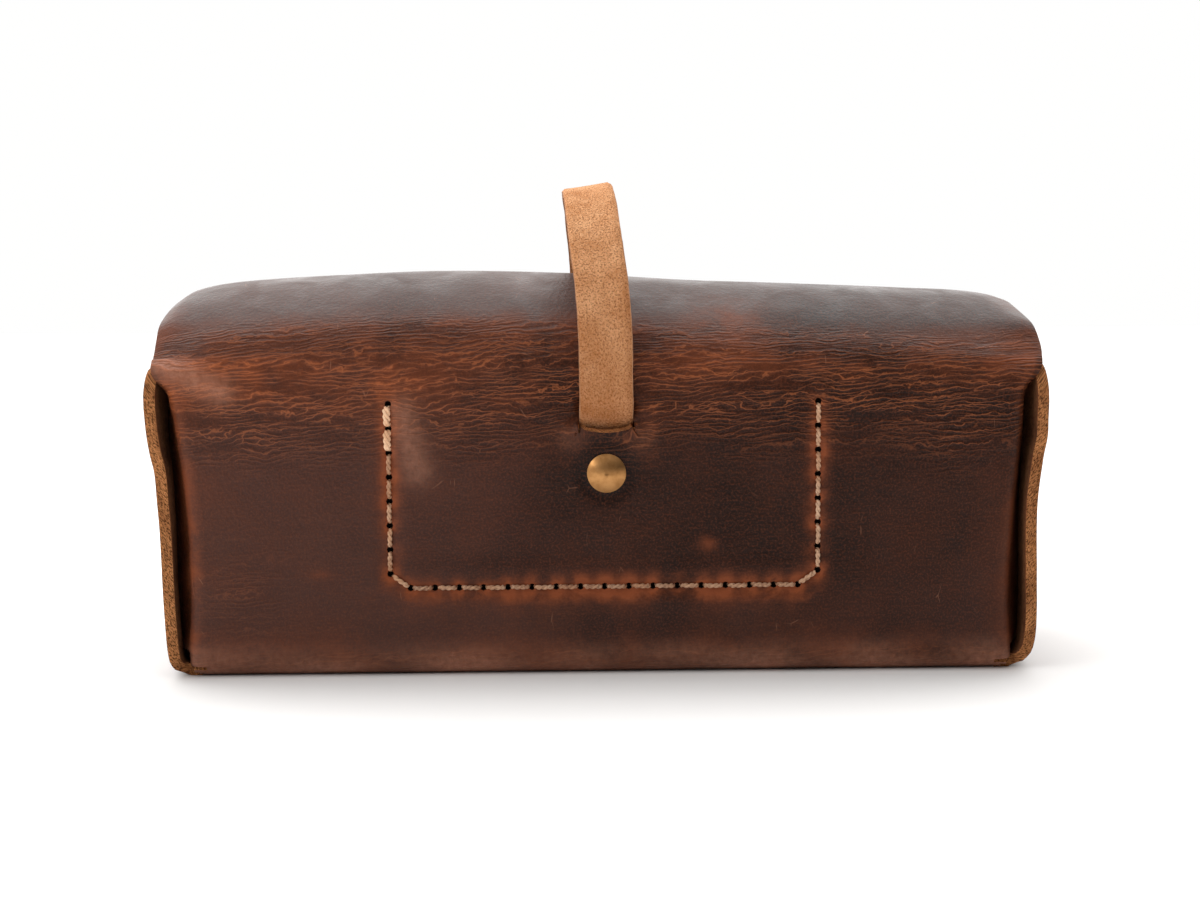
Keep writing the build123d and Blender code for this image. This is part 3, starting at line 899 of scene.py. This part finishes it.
def backWarmth(x, z, near):
    # the back panel's orange: a band under the crown, then holes, seam, a painted highlight at the slot's
    # ends, folds, rubbed spots and painted floor bounce towards the bottom
    toRight, far = ease(x, -10, 30), abs(x)
    band = wear["bandGlow"] - 0.42 * ease(x, -55, 0) + 0.12 * toRight
    band *= bell(z - wear["bandHeight"] - 3 * toRight, wear["bandWidth"] - 1.5 * toRight)
    band *= 1 + 0.6 * wave(x / 26, z / 9, 12.5)
    warm = 0.06 + band + 0.08 * ease(far, 78, 86) * (1.0 if x < 0 else 0.5)
    warm += wear["seamGlow"] * bell(near, 1.25) + 0.08 * bell(near, 3.4)
    if near < 4:
        closest = min(hypot(x - hx, (z - hz) * 0.8) for hx, hz in seamHoles)
        warm += wear["holeGlow"] * bell(closest, wear["holeReach"])
        if z < stitch["rowHeight"]:
            warm += 0.3 * bell(z - stitch["rowHeight"] + 2.2, 1.8) * (0.6 + wave(x / 3, z / 2, 4.5))
    # painted highlight at the slot's ends
    slotEnds = min(hypot(x - strapX - 6.6, z - 51.2), hypot(x - strapX + 6.6, z - 51.2))
    warm += wear["slotHighlight"] * bell(slotEnds, wear["slotReach"]) + 0.2 * bell(slotEnds, 7)
    if far < 41 and z < 18.3:
        warm += 0.2 * ease(z, 9, 18)
    warm += (0.5 if x < 0 else 0.2) * ease(far, 86, 89) * (1 - ease(far, 92, 95))
    for sx, sz, rx, rz, much in wear["spots"]:
        warm += much * bell(hypot((x - sx) / rx, (z - sz) / rz), 1.0)
    # painted floor bounce: warmer towards the bottom
    return warm + 0.22 * ease(z, 12, 4)


def warmShare(row, x, near):
    zone, y, z = row["zone"], row["y"], row["z"]
    if zone == "back":
        warm = backWarmth(x, z, near)
    elif zone == "lid":
        warm = 0.02 + 0.3 * (1 - ease(y, backY + 3, backY + 11))
        warm += 0.35 * bell(row["ny"] - 0.75, 0.3) + 0.2 * ease(abs(x), 84, 91)
        warm += 0.35 * bell(hypot((x - 27) / 9, (y - backY - 9) / 7), 1.0)
    elif zone == "lidDrop":
        warm = 0.2 + 0.5 * bell(z - lidLow.z, 2.2) + 0.25 * ease(abs(x), 84, 91)
    elif zone.endswith("Bend"):
        warm = 0.3
    elif zone == "front":
        warm = 0.1 + 0.4 * bell(z - 60, 3) + 0.25 * ease(abs(x), 78, 86)
    else:
        warm = 0.22
    # painted shade: the ends turned in behind the wings, down in the groove, are painted darker
    return warm * (0.35 if abs(x) > 90 and zone != "lid" else 1)


def plumAndPale(row, x):
    # the waxy bloom, painted lighter towards the left and the bottom, and the painted highlights and painted
    # floor bounce
    zone, z = row["zone"], row["z"]
    plum, paintedLight = 0.5, 0.0
    if zone in ("back", "backBend"):
        # painted light: the plum is lighter towards the left, where the side light falls, and towards the
        # bottom, where the floor bounces light
        plum = (0.95 - 0.8 * ease(x, -62, 12) + 0.26 * ease(z, 24, 8)
                + 0.1 * bell(x - 88, 22) * ease(z, 40, 10))
        # painted floor bounce: the roll along the base painted paler
        paintedLight = wear["baseFloorBounce"] * ease(z, 9, 0) * (0.8 + 0.8 * wave(x / 14, z / 5, 6.5))
    elif zone == "lid":
        # painted light: the lid's plum is lighter towards the left
        plum = 0.5 - 0.25 * ease(x, -20, 60)
    if zone == "back":
        # painted shade: the turned-in ends down in the groove lose their plum
        if abs(x) > 90.5:
            plum = 0.0
        # painted highlights either side of the slot's ends
        for way in (-1, 1):
            paintedLight += 0.16 * bell(hypot(x - strapX - way * 7.8, z - 49.4), 2.6)
        # painted highlight along the soft ridges
        for start, end, width, much in wear["ridges"]:
            paintedLight += wear["ridgeHighlight"] * much * bell(lineDistance(x, z, start, end),
                                                     width * wear["ridgeHighlightWidth"])
    return plum, paintedLight


normals = sheetNormals(outer, quads)
traits = newTraits()
for k, point in enumerate(outer):
    row, x = rows[rowOf[k]], xOf[k]
    zone, z = row["zone"], row["z"]
    near = seamDistance(x, z) if zone == "back" and 10 < z < 64 and abs(x) < 52 else 99
    crease = creaseShare(row, x)
    outer[k] = point + normals[k] * outwardPush(row, x, near, crease)
    warm = warmShare(row, x, near)
    plum, paintedLight = plumAndPale(row, x)
    rivetFar = hypot(x - strapX, z - rivetZ)
    if zone == "back" and rivetFar < 7:
        # painted shade: a dark ring round the rivet
        warm *= 0.1
        plum *= 1 - 0.9 * bell(rivetFar - 4.5, 1.6)
    addTraits(traits, warm, crease, plum, paintedLight)

normals = sheetNormals(outer, quads)
inner = [point - n * hide["thick"] for point, n in zip(outer, normals)]
for j in slotColumns:
    k = gridIndex[slotRows[0], j]
    inner[k] = outer[k] + (inner[k] - outer[k]) * slot["lipThin"]
    inner[k].z += slot["lipDrop"]
print("hide shaped", len(outer))

holeKeys = []
for hx, hz in seamHoles:
    i = next(n for n, row in enumerate(rows) if row["zone"] == "back" and abs(row["z"] - hz) < 0.1)
    holeKeys.append(gridIndex[i, nearest(columns, hx)])
seamRows = {
    "lid": next(n for n, row in enumerate(rows) if row["zone"] == "lidDrop"
                and row["z"] < hide["lidSeam"] + 0.1),
    "base": next(n for n, row in enumerate(rows) if row["zone"] == "base" and row["y"] < -18),
}


def hidePiece(name, firstRow, lastRow):
    chosen = [quad for quad, i in zip(quads, quadRow) if firstRow <= i < lastRow]

    def isRaw(a, b):
        return not (rowOf[a] == rowOf[b] and rowOf[a] in seamRows.values())
    return sheetPiece(name, outer, inner, chosen, flat, traits, caseSkins, isRaw, holeKeys,
                      hide["edgeRound"])


baseAndFront = hidePiece("baseAndFront", 0, seamRows["base"])
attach(baseAndFront, "case")
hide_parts("case_shell")
backAndLid = hidePiece("backAndLid", seamRows["base"], seamRows["lid"])
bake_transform(backAndLid)
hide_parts("case_shell", "lid_flap")
lidFront = hidePiece("lidFront", seamRows["lid"], len(rows) - 1)
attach(lidFront, "lid")
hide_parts("lid_flap")
print("hide pieces made", [len(o.data.polygons) for o in (baseAndFront, backAndLid, lidFront)])


# The end wings, each one sheet that turns in under the base.

wingLow = [0.0, 0.12, 0.45, 0.9, 1.6, 2.5, 3.6, 4.8]      # close rows round the lower bend
wingHeights = wingLow + [6.0 + i for i in range(59)]


def wingPiece(side, name):
    seamYs = list(endSeamY.values())
    ys = [backY, backY + 0.4, *(backY + 1 + i for i in range(int(frontY - backY) - 1)), frontY - 0.4, frontY]
    for j, y in enumerate(ys):
        seamY = min(seamYs, key=lambda s: abs(s - y))
        if abs(seamY - y) < 0.5:
            ys[j] = seamY
    zs = wingHeights
    points, uvs, grid, marks = [], [], {}, newTraits()
    starts = [wing["underReach"] - 1.2, wing["underReach"]]
    corner, straight, top = wing["topCorner"], wing["straightTop"], wing["top"]
    for j, y in enumerate(ys):
        toBack, toFront = y - backY, frontY - y
        near = min(toBack, toFront)
        seamNear = min(abs(y - s) for s in seamYs)
        drop = corner - sqrt(max(0.0, corner ** 2 - (corner - near) ** 2)) if near < corner else 0.0
        for i in range(len(zs) + 2):
            under = i < 2
            z = 0.0 if under else zs[i - 2]
            if z > straight:
                z = straight + (z - straight) * (top - drop - straight) / (top - straight)
            x = starts[i] if under else wingOuter(side, y, z)
            tuck = wing["tuck"] * ease(z, 4.5, 0.0) * ease(near, 6, 0) * (1 if x < 88 else 0.6)
            push = wingSwell(side, y, z) * ease(near, 0, 4) * ease(z, 3, 9)
            push -= wing["seamPull"] * bell(seamNear, 1.4) * ease(z, 6, 12) * (1 - ease(z, 58, 62))
            grid[i, j] = len(points)
            points.append(Vector((side * (x + push), y + (tuck if toBack < toFront else -tuck), z)))
            uvs.append(((y + 150 * side) / 100, (z + (x - 90 if under else 0)) / 100 + 3.1 * side))
            warm = 0.12 + 0.45 * bell(near, 2.5) + 0.45 * bell(seamNear, 1.6)
            warm += 0.35 * ease(z, 8, 1) + 0.3 * ease(z, 58, 64)
            crease = 0.15 + 0.4 * ease(z, 54, 62) + 0.25 * ease(z, 9, 3)
            addTraits(marks, warm, crease, 0.55, 0.0)
    faces = []
    for i in range(len(zs) + 1):
        for j in range(len(ys) - 1):
            quad = [grid[i, j], grid[i, j + 1], grid[i + 1, j + 1], grid[i + 1, j]]
            faces.append(quad if side > 0 else quad[::-1])
    faces, turned = facing(points, faces, Vector((side, 0, 0)), grid[40, 30])
    lining = [p - n * wing["thick"] for p, n in zip(points, turned)]
    for k, p in enumerate(lining):
        if points[k].z < 0.2:
            p.z = max(p.z, points[k].z + wing["thick"])
    holes = [grid[nearest(zs, h) + 2, nearest(ys, y)] for y in seamYs for h in endHeights]
    firstRow = {grid[0, j] for j in range(len(ys))}
    piece = sheetPiece(name, points, lining, faces, uvs, marks, caseSkins,
                       lambda a, b: not (a in firstRow and b in firstRow), holes, edgeRound=0.4)
    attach(piece, "case")
    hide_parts("case_shell")


wingPiece(-1, "leftWing")
wingPiece(1, "rightWing")
print("wings made")


# Waxed thread, in two strands laid round each other.

thread = {
    "radius": 0.5, "strand": 0.31, "twistsPerMm": 0.4, "sides": 7, "lift": 0.46,
    "shy": 0.84,             # each stitch shows from this far beyond the middle of its hole
    "depth": 1.1, "insideDepth": 0.6,
    "thick": 1.05, "firstThick": 1.24, "firstSoil": 0.02, "insideSoil": 0.4,
    "dirtyRow": range(8, 24),                # the stitches low on the case are the dirtiest
    "beside": 0.55,          # the doubled stitches lie this far beside the first ones
    "jitter": 0.1,
}


def strandTube(mesh, soilLayer, path, soil, scale=1.0, phase=0.0):
    # two waxed strands along a path of (point, outward) pairs
    lengths = [0.0]
    for (a, _), (b, _) in zip(path, path[1:]):
        lengths.append(lengths[-1] + (b - a).length)
    sides = thread["sides"]
    for strand in (0, 1):
        rings = []
        for n, (point, out) in enumerate(path):
            ahead = path[min(n + 1, len(path) - 1)][0] - path[max(n - 1, 0)][0]
            ahead.normalize()
            sideways = ahead.cross(out).normalized()
            upward = sideways.cross(ahead).normalized()
            turn = 2 * pi * thread["twistsPerMm"] * lengths[n] + strand * pi + phase
            reach = (thread["radius"] - thread["strand"]) * scale
            middle = point + (sideways * cos(turn) + upward * sin(turn)) * reach
            ring = []
            for q in range(sides):
                a = 2 * pi * q / sides
                vert = mesh.verts.new((middle + (sideways * cos(a) + upward * sin(a))
                                       * thread["strand"] * scale) * mm)
                vert[soilLayer] = soil
                ring.append(vert)
            rings.append(ring)
        for one, two in zip(rings, rings[1:]):
            for q in range(sides):
                r = (q + 1) % sides
                mesh.faces.new([one[q], one[r], two[r], two[q]])
        mesh.faces.new(rings[0][::-1])
        mesh.faces.new(rings[-1])


def stitchPath(start, end, out, lift, depth):
    # down one hole, over the leather and down the next
    ahead = (end - start).normalized() * thread["shy"]
    start, end = start + ahead, end - ahead
    rise = [(0.0, -depth), (0.02, -0.35), (0.07, lift * 0.45), (0.17, lift * 0.85), (0.33, lift),
            (0.5, lift * 1.04), (0.67, lift), (0.83, lift * 0.85), (0.93, lift * 0.45),
            (0.98, -0.35), (1.0, -depth)]
    smooth = smoothLine(*[(i / 10, r[1]) for i, r in enumerate(rise)])
    place = smoothLine(*[(i / 10, r[0]) for i, r in enumerate(rise)])
    return [(start.lerp(end, place(n / 20)) + out * smooth(n / 20), out) for n in range(21)]


def pocketStitches():
    mesh = bmesh.new()
    soilLayer = mesh.verts.layers.float.new("soil")
    lift, jitter = thread["lift"], thread["jitter"]
    for n, (first, second) in enumerate(zip(holeKeys, holeKeys[1:])):
        doubled = n < 2
        soil = thread["firstSoil"] if doubled else 0.5 + 0.25 * dice.random()
        if n in thread["dirtyRow"]:
            soil = 0.72 + 0.28 * dice.random()
        a = outer[first] + Vector((dice.uniform(-jitter, jitter), 0, dice.uniform(-jitter, jitter)))
        b = outer[second].copy()
        out = (normals[first] + normals[second]).normalized()
        thick = thread["firstThick" if doubled else "thick"]
        path = stitchPath(a, b, out, lift, thread["depth"])
        strandTube(mesh, soilLayer, path, soil, thick, dice.random() * 6)
        if doubled:
            # doubled back over the first two holes to lock the seam
            beside = Vector((thread["beside"], 0, 0))
            path = stitchPath(a - beside, b - beside * 0.4, out, lift * 1.25, thread["depth"])
            strandTube(mesh, soilLayer, path, soil, thick, dice.random() * 6)
        low, high = [Vector((end.x, pocketLow.y + 1.4, end.z)) for end in (a, b)]
        path = stitchPath(low, high, Vector((0, 1, 0)), lift, thread["insideDepth"])
        strandTube(mesh, soilLayer, path, thread["insideSoil"])
    piece = giveMesh("pocketStitches", mesh, [threadSkin], 80)
    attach(piece, "case")
    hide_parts("pocket_thread")


def endSeam(side, face):
    mesh = bmesh.new()
    soilLayer = mesh.verts.layers.float.new("soil")
    y, out, lift = endSeamY[face], Vector((side, 0, 0)), thread["lift"]
    for heights in zip(endHeights, endHeights[1:]):
        ends = [Vector((side * (wingOuter(side, y, z) - wing["seamPull"] + wingSwell(side, y, z)), y, z))
                for z in heights]
        path = stitchPath(*ends, out, lift, thread["depth"])
        strandTube(mesh, soilLayer, path, 0.5 + 0.3 * dice.random(), 1.0, dice.random() * 6)
        deep = [end - out * 5.0 for end in ends]
        path = stitchPath(*deep, -out, lift, thread["insideDepth"])
        strandTube(mesh, soilLayer, path, thread["insideSoil"])
    endName = {-1: "left", 1: "right"}[side]
    piece = giveMesh("endSeam" + endName.capitalize() + face.capitalize(), mesh, [threadSkin], 80)
    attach(piece, "case")
    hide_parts(f"end_thread_{endName}_{face}")


pocketStitches()
for side in (-1, 1):
    for face in ("back", "front"):
        endSeam(side, face)
print("threads made")


# The pocket inside the back, which also covers the strap's tail.

pocket = {"thick": 1.4, "bulge": 5.0, "wall": 3.4, "inset": 1.6, "corner": 6, "across": 96, "up": 46}


def innerPocket():
    lowX, highX, lowZ, highZ = pocketLow.x, pocketHigh.x, pocketLow.z, pocketHigh.z
    across, up, corner = pocket["across"], pocket["up"], pocket["corner"]
    points, uvs, grid, marks = [], [], {}, newTraits()
    for i in range(up + 1):
        z = lowZ + (highZ - lowZ) * i / up
        for j in range(across + 1):
            x = lowX + (highX - lowX) * j / across
            sideFar = min(x - stitch["leftX"], stitch["rightX"] - x) - pocket["inset"]
            lowFar = z - stitch["rowHeight"] - pocket["inset"]
            far = min(sideFar, lowFar)
            if 0 < sideFar < corner and 0 < lowFar < corner:
                far = corner - hypot(corner - sideFar, corner - lowFar)
            rise = pocket["bulge"] * ease(far, 0, pocket["wall"])
            slack = 0.35 * wave(x / 20, z / 16, 9.0) - 0.5 * bell(hypot((x - 1) / 30, (z - 60) / 12), 1)
            rise += slack * ease(far, 0, 8)
            grid[i, j] = len(points)
            points.append(Vector((x, pocketLow.y + pocket["thick"] + 0.05 + rise, z)))
            uvs.append(((x + 300) / 100, (z + 40) / 100))
            addTraits(marks, 0.3, 0.2, 0.5, 0.0)
    faces = [[grid[i, j], grid[i + 1, j], grid[i + 1, j + 1], grid[i, j + 1]]
             for i in range(up) for j in range(across)]
    faces, turned = facing(points, faces, Vector((0, 1, 0)), 0)
    lining = [p - n * pocket["thick"] for p, n in zip(points, turned)]
    piece = sheetPiece("innerPocket", points, lining, faces, uvs, marks,
                       [pocketFace, pocketFace, rawEdge, holeShade], lambda a, b: True, edgeRound=0.3)
    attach(piece, "case")
    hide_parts("inner_pocket")


innerPocket()
print("pocket made")


# The strap, from its tail inside the back, out over the slot's lip and over the lid to its tip.

strap = {
    "width": 11.0, "thick": 2.3, "slotTurn": 1.7, "insideY": -31.55, "outsideY": -36.9,
    "frontY": 35.05, "tailEnd": 35.2, "slotIn": 49.6, "slotOut": 57.6, "legTop": 60.5,
    "archLevel": 67.0, "apexDrop": 1.2, "archSteps": 72, "frontDrop": 46,
    "tailRound": 3.6, "tipRound": 5.0,
    "splitY": 20, "splitZ": 72,          # the tip's piece starts below and in front of here
}
# sideways lean in mm, tilt and yaw in degrees, by length beyond the slot
leanLine = smoothLine((0, 0), (10, -0.0), (16, -0.1), (24, -0.4), (40, -1.9), (60, -3.0), (75, -3.2),
                      (95, -2.2), (120, -0.6), (135, 0), (200, 0))
tiltLine = smoothLine((0, 0), (18, 0), (35, 4), (60, 8), (78, 8), (105, 3), (130, 0), (200, 0))
yawLine = smoothLine((0, 0), (20, 0), (40, 5), (62, 9), (95, 4), (130, 0), (200, 0))
# stations across the strap, from edge to edge
strapSpots = [-1, -0.965, -0.88, -0.7, -0.45, -0.2, 0.05, 0.3, 0.52, 0.72, 0.88, 0.965, 1]


def filletPath(corners, radius, step=0.8):
    # points along a run of straight lines with rounded corners, in y and z
    out = [Vector(corners[0])]
    for before, corner, after in zip(corners, corners[1:], corners[2:]):
        b, c, a = Vector(before), Vector(corner), Vector(after)
        u, v = (b - c).normalized(), (a - c).normalized()
        half = u.angle(v) / 2
        cut = radius / max(0.2, abs(sin(half) / cos(half)))
        p, q = c + u * cut, c + v * cut
        for i in range(7):
            t = i / 6
            out.append(p * (1 - t) ** 2 + c * 2 * t * (1 - t) + q * t * t)
    out.append(Vector(corners[-1]))
    dense = [out[0]]
    for a, b in zip(out, out[1:]):
        count = max(1, int((b - a).length / step))
        dense += [a.lerp(b, i / count) for i in range(1, count + 1)]
    return dense


def strapStations():
    back, front, level, legTop = strap["outsideY"], strap["frontY"], strap["archLevel"], strap["legTop"]
    points = filletPath([(strap["insideY"], strap["tailEnd"]), (strap["insideY"], strap["slotIn"]),
                         (back, strap["slotOut"]), (back, legTop)], strap["slotTurn"])
    centre, radius, steps = (back + front) / 2, (front - back) / 2, strap["archSteps"]
    points += [Vector((back, legTop + (level - legTop) * i / 6)) for i in range(1, 7)]
    for i in range(1, steps + 1):
        a = pi - pi * i / steps
        points.append(Vector((centre + radius * cos(a), level + (radius - strap["apexDrop"]) * sin(a))))
    return points + [Vector((front, level - i)) for i in range(1, strap["frontDrop"] + 1)]


def strapFrame(n):
    # centre, way across and way outward at one station, with the strap's lean, tilt and yaw
    here, beyond = strapLine[n], strapRuns[n] - slotRun
    ahead = (strapLine[min(n + 1, len(strapLine) - 1)] - strapLine[max(n - 1, 0)]).normalized()
    centre = Vector((strapX + leanLine(beyond), here.x, here.y))
    forward, outward = Vector((0, ahead.x, ahead.y)), Vector((0, -ahead.y, ahead.x))
    tilt, yaw = -radians(tiltLine(beyond)), radians(yawLine(beyond))
    acrossWay = Vector((1, 0, 0)) * cos(tilt) - outward * sin(tilt)
    acrossWay = (acrossWay * cos(yaw) + forward * sin(yaw)).normalized()
    return centre, acrossWay, (acrossWay.cross(forward) * -1).normalized()


def strapPiece(name, first, last, roundAt, radius):
    # a flat band swept along the strap's line, with worn and slightly uneven edges
    mesh = bmesh.new()
    soilLayer = mesh.verts.layers.float.new("soil")
    flatU, flatV = mesh.verts.layers.float.new("flatU"), mesh.verts.layers.float.new("flatV")
    half, deep = strap["width"] / 2, strap["thick"] / 2
    rings = []
    for n in range(first, last + 1):
        s = strapRuns[n]
        centre, acrossWay, outward = strapFrame(n)
        narrow, gap = 1.0, abs(s - roundAt)
        if gap < radius:
            rest = 1 - radius / half
            narrow = max(0.04, rest + (1 - rest) * sqrt(max(0.0, 1 - (1 - gap / radius) ** 2)))
        unevenLeft = 0.14 * wave(s / 9, 2.2) + 0.06 * wave(s / 2.4, 4.4)
        unevenRight = 0.14 * wave(s / 8, 8.2) + 0.07 * wave(s / 2.1, 6.4)
        ring = []
        for face in (1, -1):
            for t in strapSpots[::face]:
                place = t * (half * narrow + (unevenLeft if t < 0 else unevenRight) * abs(t))
                level = face * deep * (1 - 0.42 * ease(abs(t), 0.86, 1.0) ** 1.5)
                level += 0.1 * wave(s / 14, t, 3.3) + 0.075 * (1 - t * t)
                vert = mesh.verts.new((centre + acrossWay * place + outward * level) * mm)
                vert[flatU] = place / 100 + (0.5 if face < 0 else 0)
                vert[flatV] = s / 100
                # soiling on the strap's edges and by the slot, and painted shade darkening its run up from
                # the slot, so the arch's top shows painted lighter
                vert[soilLayer] = (0.15 * ease(abs(t), 0.7, 1) + 0.22 * bell(s - slotRun - 2, 9)
                                   + 0.42 * ease(s - slotRun, 42, 8))
                ring.append(vert)
        rings.append(ring)
    count = len(strapSpots)
    cutFaces = (0, count - 2, count - 1, count, 2 * count - 2, 2 * count - 1)
    for one, two in zip(rings, rings[1:]):
        for q in range(2 * count):
            r = (q + 1) % (2 * count)
            mesh.faces.new([one[q], two[q], two[r], one[r]]).material_index = 1 if q in cutFaces else 0
    for ring, flip in ((rings[0], 1), (rings[-1], -1)):
        for q in range(count - 1):
            corner = [ring[q], ring[q + 1], ring[2 * count - 2 - q], ring[2 * count - 1 - q]]
            mesh.faces.new(corner[::flip]).material_index = 1
    layFlat(mesh, flatU, flatV)
    piece = giveMesh(name, mesh, [strapFace, strapCut], 55)
    return piece


strapLine = strapStations()
strapRuns = [0.0]
for a, b in zip(strapLine, strapLine[1:]):
    strapRuns.append(strapRuns[-1] + (b - a).length)
# the slot is among the first stations, on the way out through the hide
slotRun = strapRuns[min(range(60), key=lambda n: abs(strapLine[n].x + 34.2))]
splitAt = next(n for n in range(60, len(strapLine))
               if strapLine[n].x > strap["splitY"] and strapLine[n].y < strap["splitZ"])
strapArch = strapPiece("strapArch", 0, splitAt, 0.0, strap["tailRound"])
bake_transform(strapArch)
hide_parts("strap_root", "strap_arch")
strapTip = strapPiece("strapTip", splitAt, len(strapLine) - 1, strapRuns[-1], strap["tipRound"])
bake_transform(strapTip)
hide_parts("strap_arch", "strap_end")
print("strap made, slot at", round(slotRun, 1), "of", round(strapRuns[-1], 1))


# The metal parts keep their shapes.

metalSkins = {
    agedBrass: ("strap_rivet_base", "panel_button", "panel_button_washer", "tip_button", "tip_cap"),
    rivetBrass: ("strap_rivet_cap",),
    nickel: ("panel_button_magnet", "tip_button_magnet"),
}
for skin, names in metalSkins.items():
    for name in names:
        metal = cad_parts[name]
        metal.data.materials.clear()
        metal.data.materials.append(skin)
print("metal finished")


# Floor, light and camera.

studio = {
    "floorSize": 5.0, "floorRoughness": 0.85,
    "floorTones": ((0.86, 0.855, 0.85, 1), (0.88, 0.875, 0.87, 1)),
    # direction, then where the fade starts and ends and how bright it is at each
    "surround": (("Y", -0.3, 0.8, 0.05, 2.4), ("Z", 0.25, 1.0, 0.0, 0.85), ("X", 0.3, -0.9, 0.0, 0.45)),
    "lightTint": (1.0, 0.985, 0.97, 1), "backdropTint": (1, 1, 0.995, 1),
    # strength, size, place and turn of each soft light
    "top": (1.6, 0.7, (-0.1, 0.15, 0.7), (-12, -8, 0)),
    "left": (1.3, 0.35, (-0.65, -0.42, 0.42), (62, 0, -57)),
}
view = {"place": (-7.03, -375.84, 75.97), "turn": -1.215, "pitch": 4.9, "roll": -0.355, "lens": 50,
        "sensor": 36}


def paleFloor():
    finish, tree, shader = newFinish("paleFloor")
    base = blendTone(tree, clouds(tree, objectPlace(tree), 3, 3), *studio["floorTones"])
    fill(tree, shader, Base_Color=base, Roughness=studio["floorRoughness"], Specular_IOR_Level=0.15)
    return finish


def softLight(name, strength, size, where, turn):
    data = bpy.data.lights.new(name, "AREA")
    data.shape, data.size, data.size_y = "RECTANGLE", size, size * 0.6
    data.energy = strength
    lamp = intoScene(name, data)
    lamp.location = where
    lamp.rotation_euler = [radians(a) for a in turn]


floorMesh = bpy.data.meshes.new("floor")
size = studio["floorSize"]
floorMesh.from_pydata([(-size, -size, 0), (size, -size, 0), (size, size, 0), (-size, size, 0)], [],
                      [(0, 1, 2, 3)])
floorMesh.materials.append(paleFloor())
intoScene("floor", floorMesh)
softLight("topLight", *studio["top"])
softLight("leftLight", *studio["left"])

# a bright surround that lights the case softly, while the camera sees plain white
world = bpy.data.worlds.new("surround")
bpy.context.scene.world = world
world.use_nodes = True
sky = world.node_tree
sky.nodes.clear()
way = node(sky, "ShaderNodeSeparateXYZ", n0=node(sky, "ShaderNodeTexCoord").outputs["Generated"])
fades = [window(sky, way.outputs[axis], *fade) for axis, *fade in studio["surround"]]
total = sums(sky, "ADD", sums(sky, "ADD", *fades[:2]), fades[2])
lit = node(sky, "ShaderNodeBackground", Color=studio["lightTint"], Strength=total).outputs[0]
seen = node(sky, "ShaderNodeBackground", Color=studio["backdropTint"]).outputs[0]
cameraRay = node(sky, "ShaderNodeLightPath").outputs["Is Camera Ray"]
node(sky, "ShaderNodeOutputWorld", Surface=node(sky, "ShaderNodeMixShader", n0=cameraRay, n1=lit,
                                                n2=seen).outputs[0])

cameraData = bpy.data.cameras.new("camera")
cameraData.lens, cameraData.sensor_width = view["lens"], view["sensor"]
camera = intoScene("camera", cameraData)
camera.matrix_world = (Matrix.Translation(Vector(view["place"]) * mm)
                       @ Matrix.Rotation(radians(view["turn"]), 4, "Z")
                       @ Matrix.Rotation(radians(90 - view["pitch"]), 4, "X")
                       @ Matrix.Rotation(radians(view["roll"]), 4, "Z"))
bpy.context.scene.camera = camera
bpy.context.scene.view_settings.view_transform = "Standard"
print("studio ready")
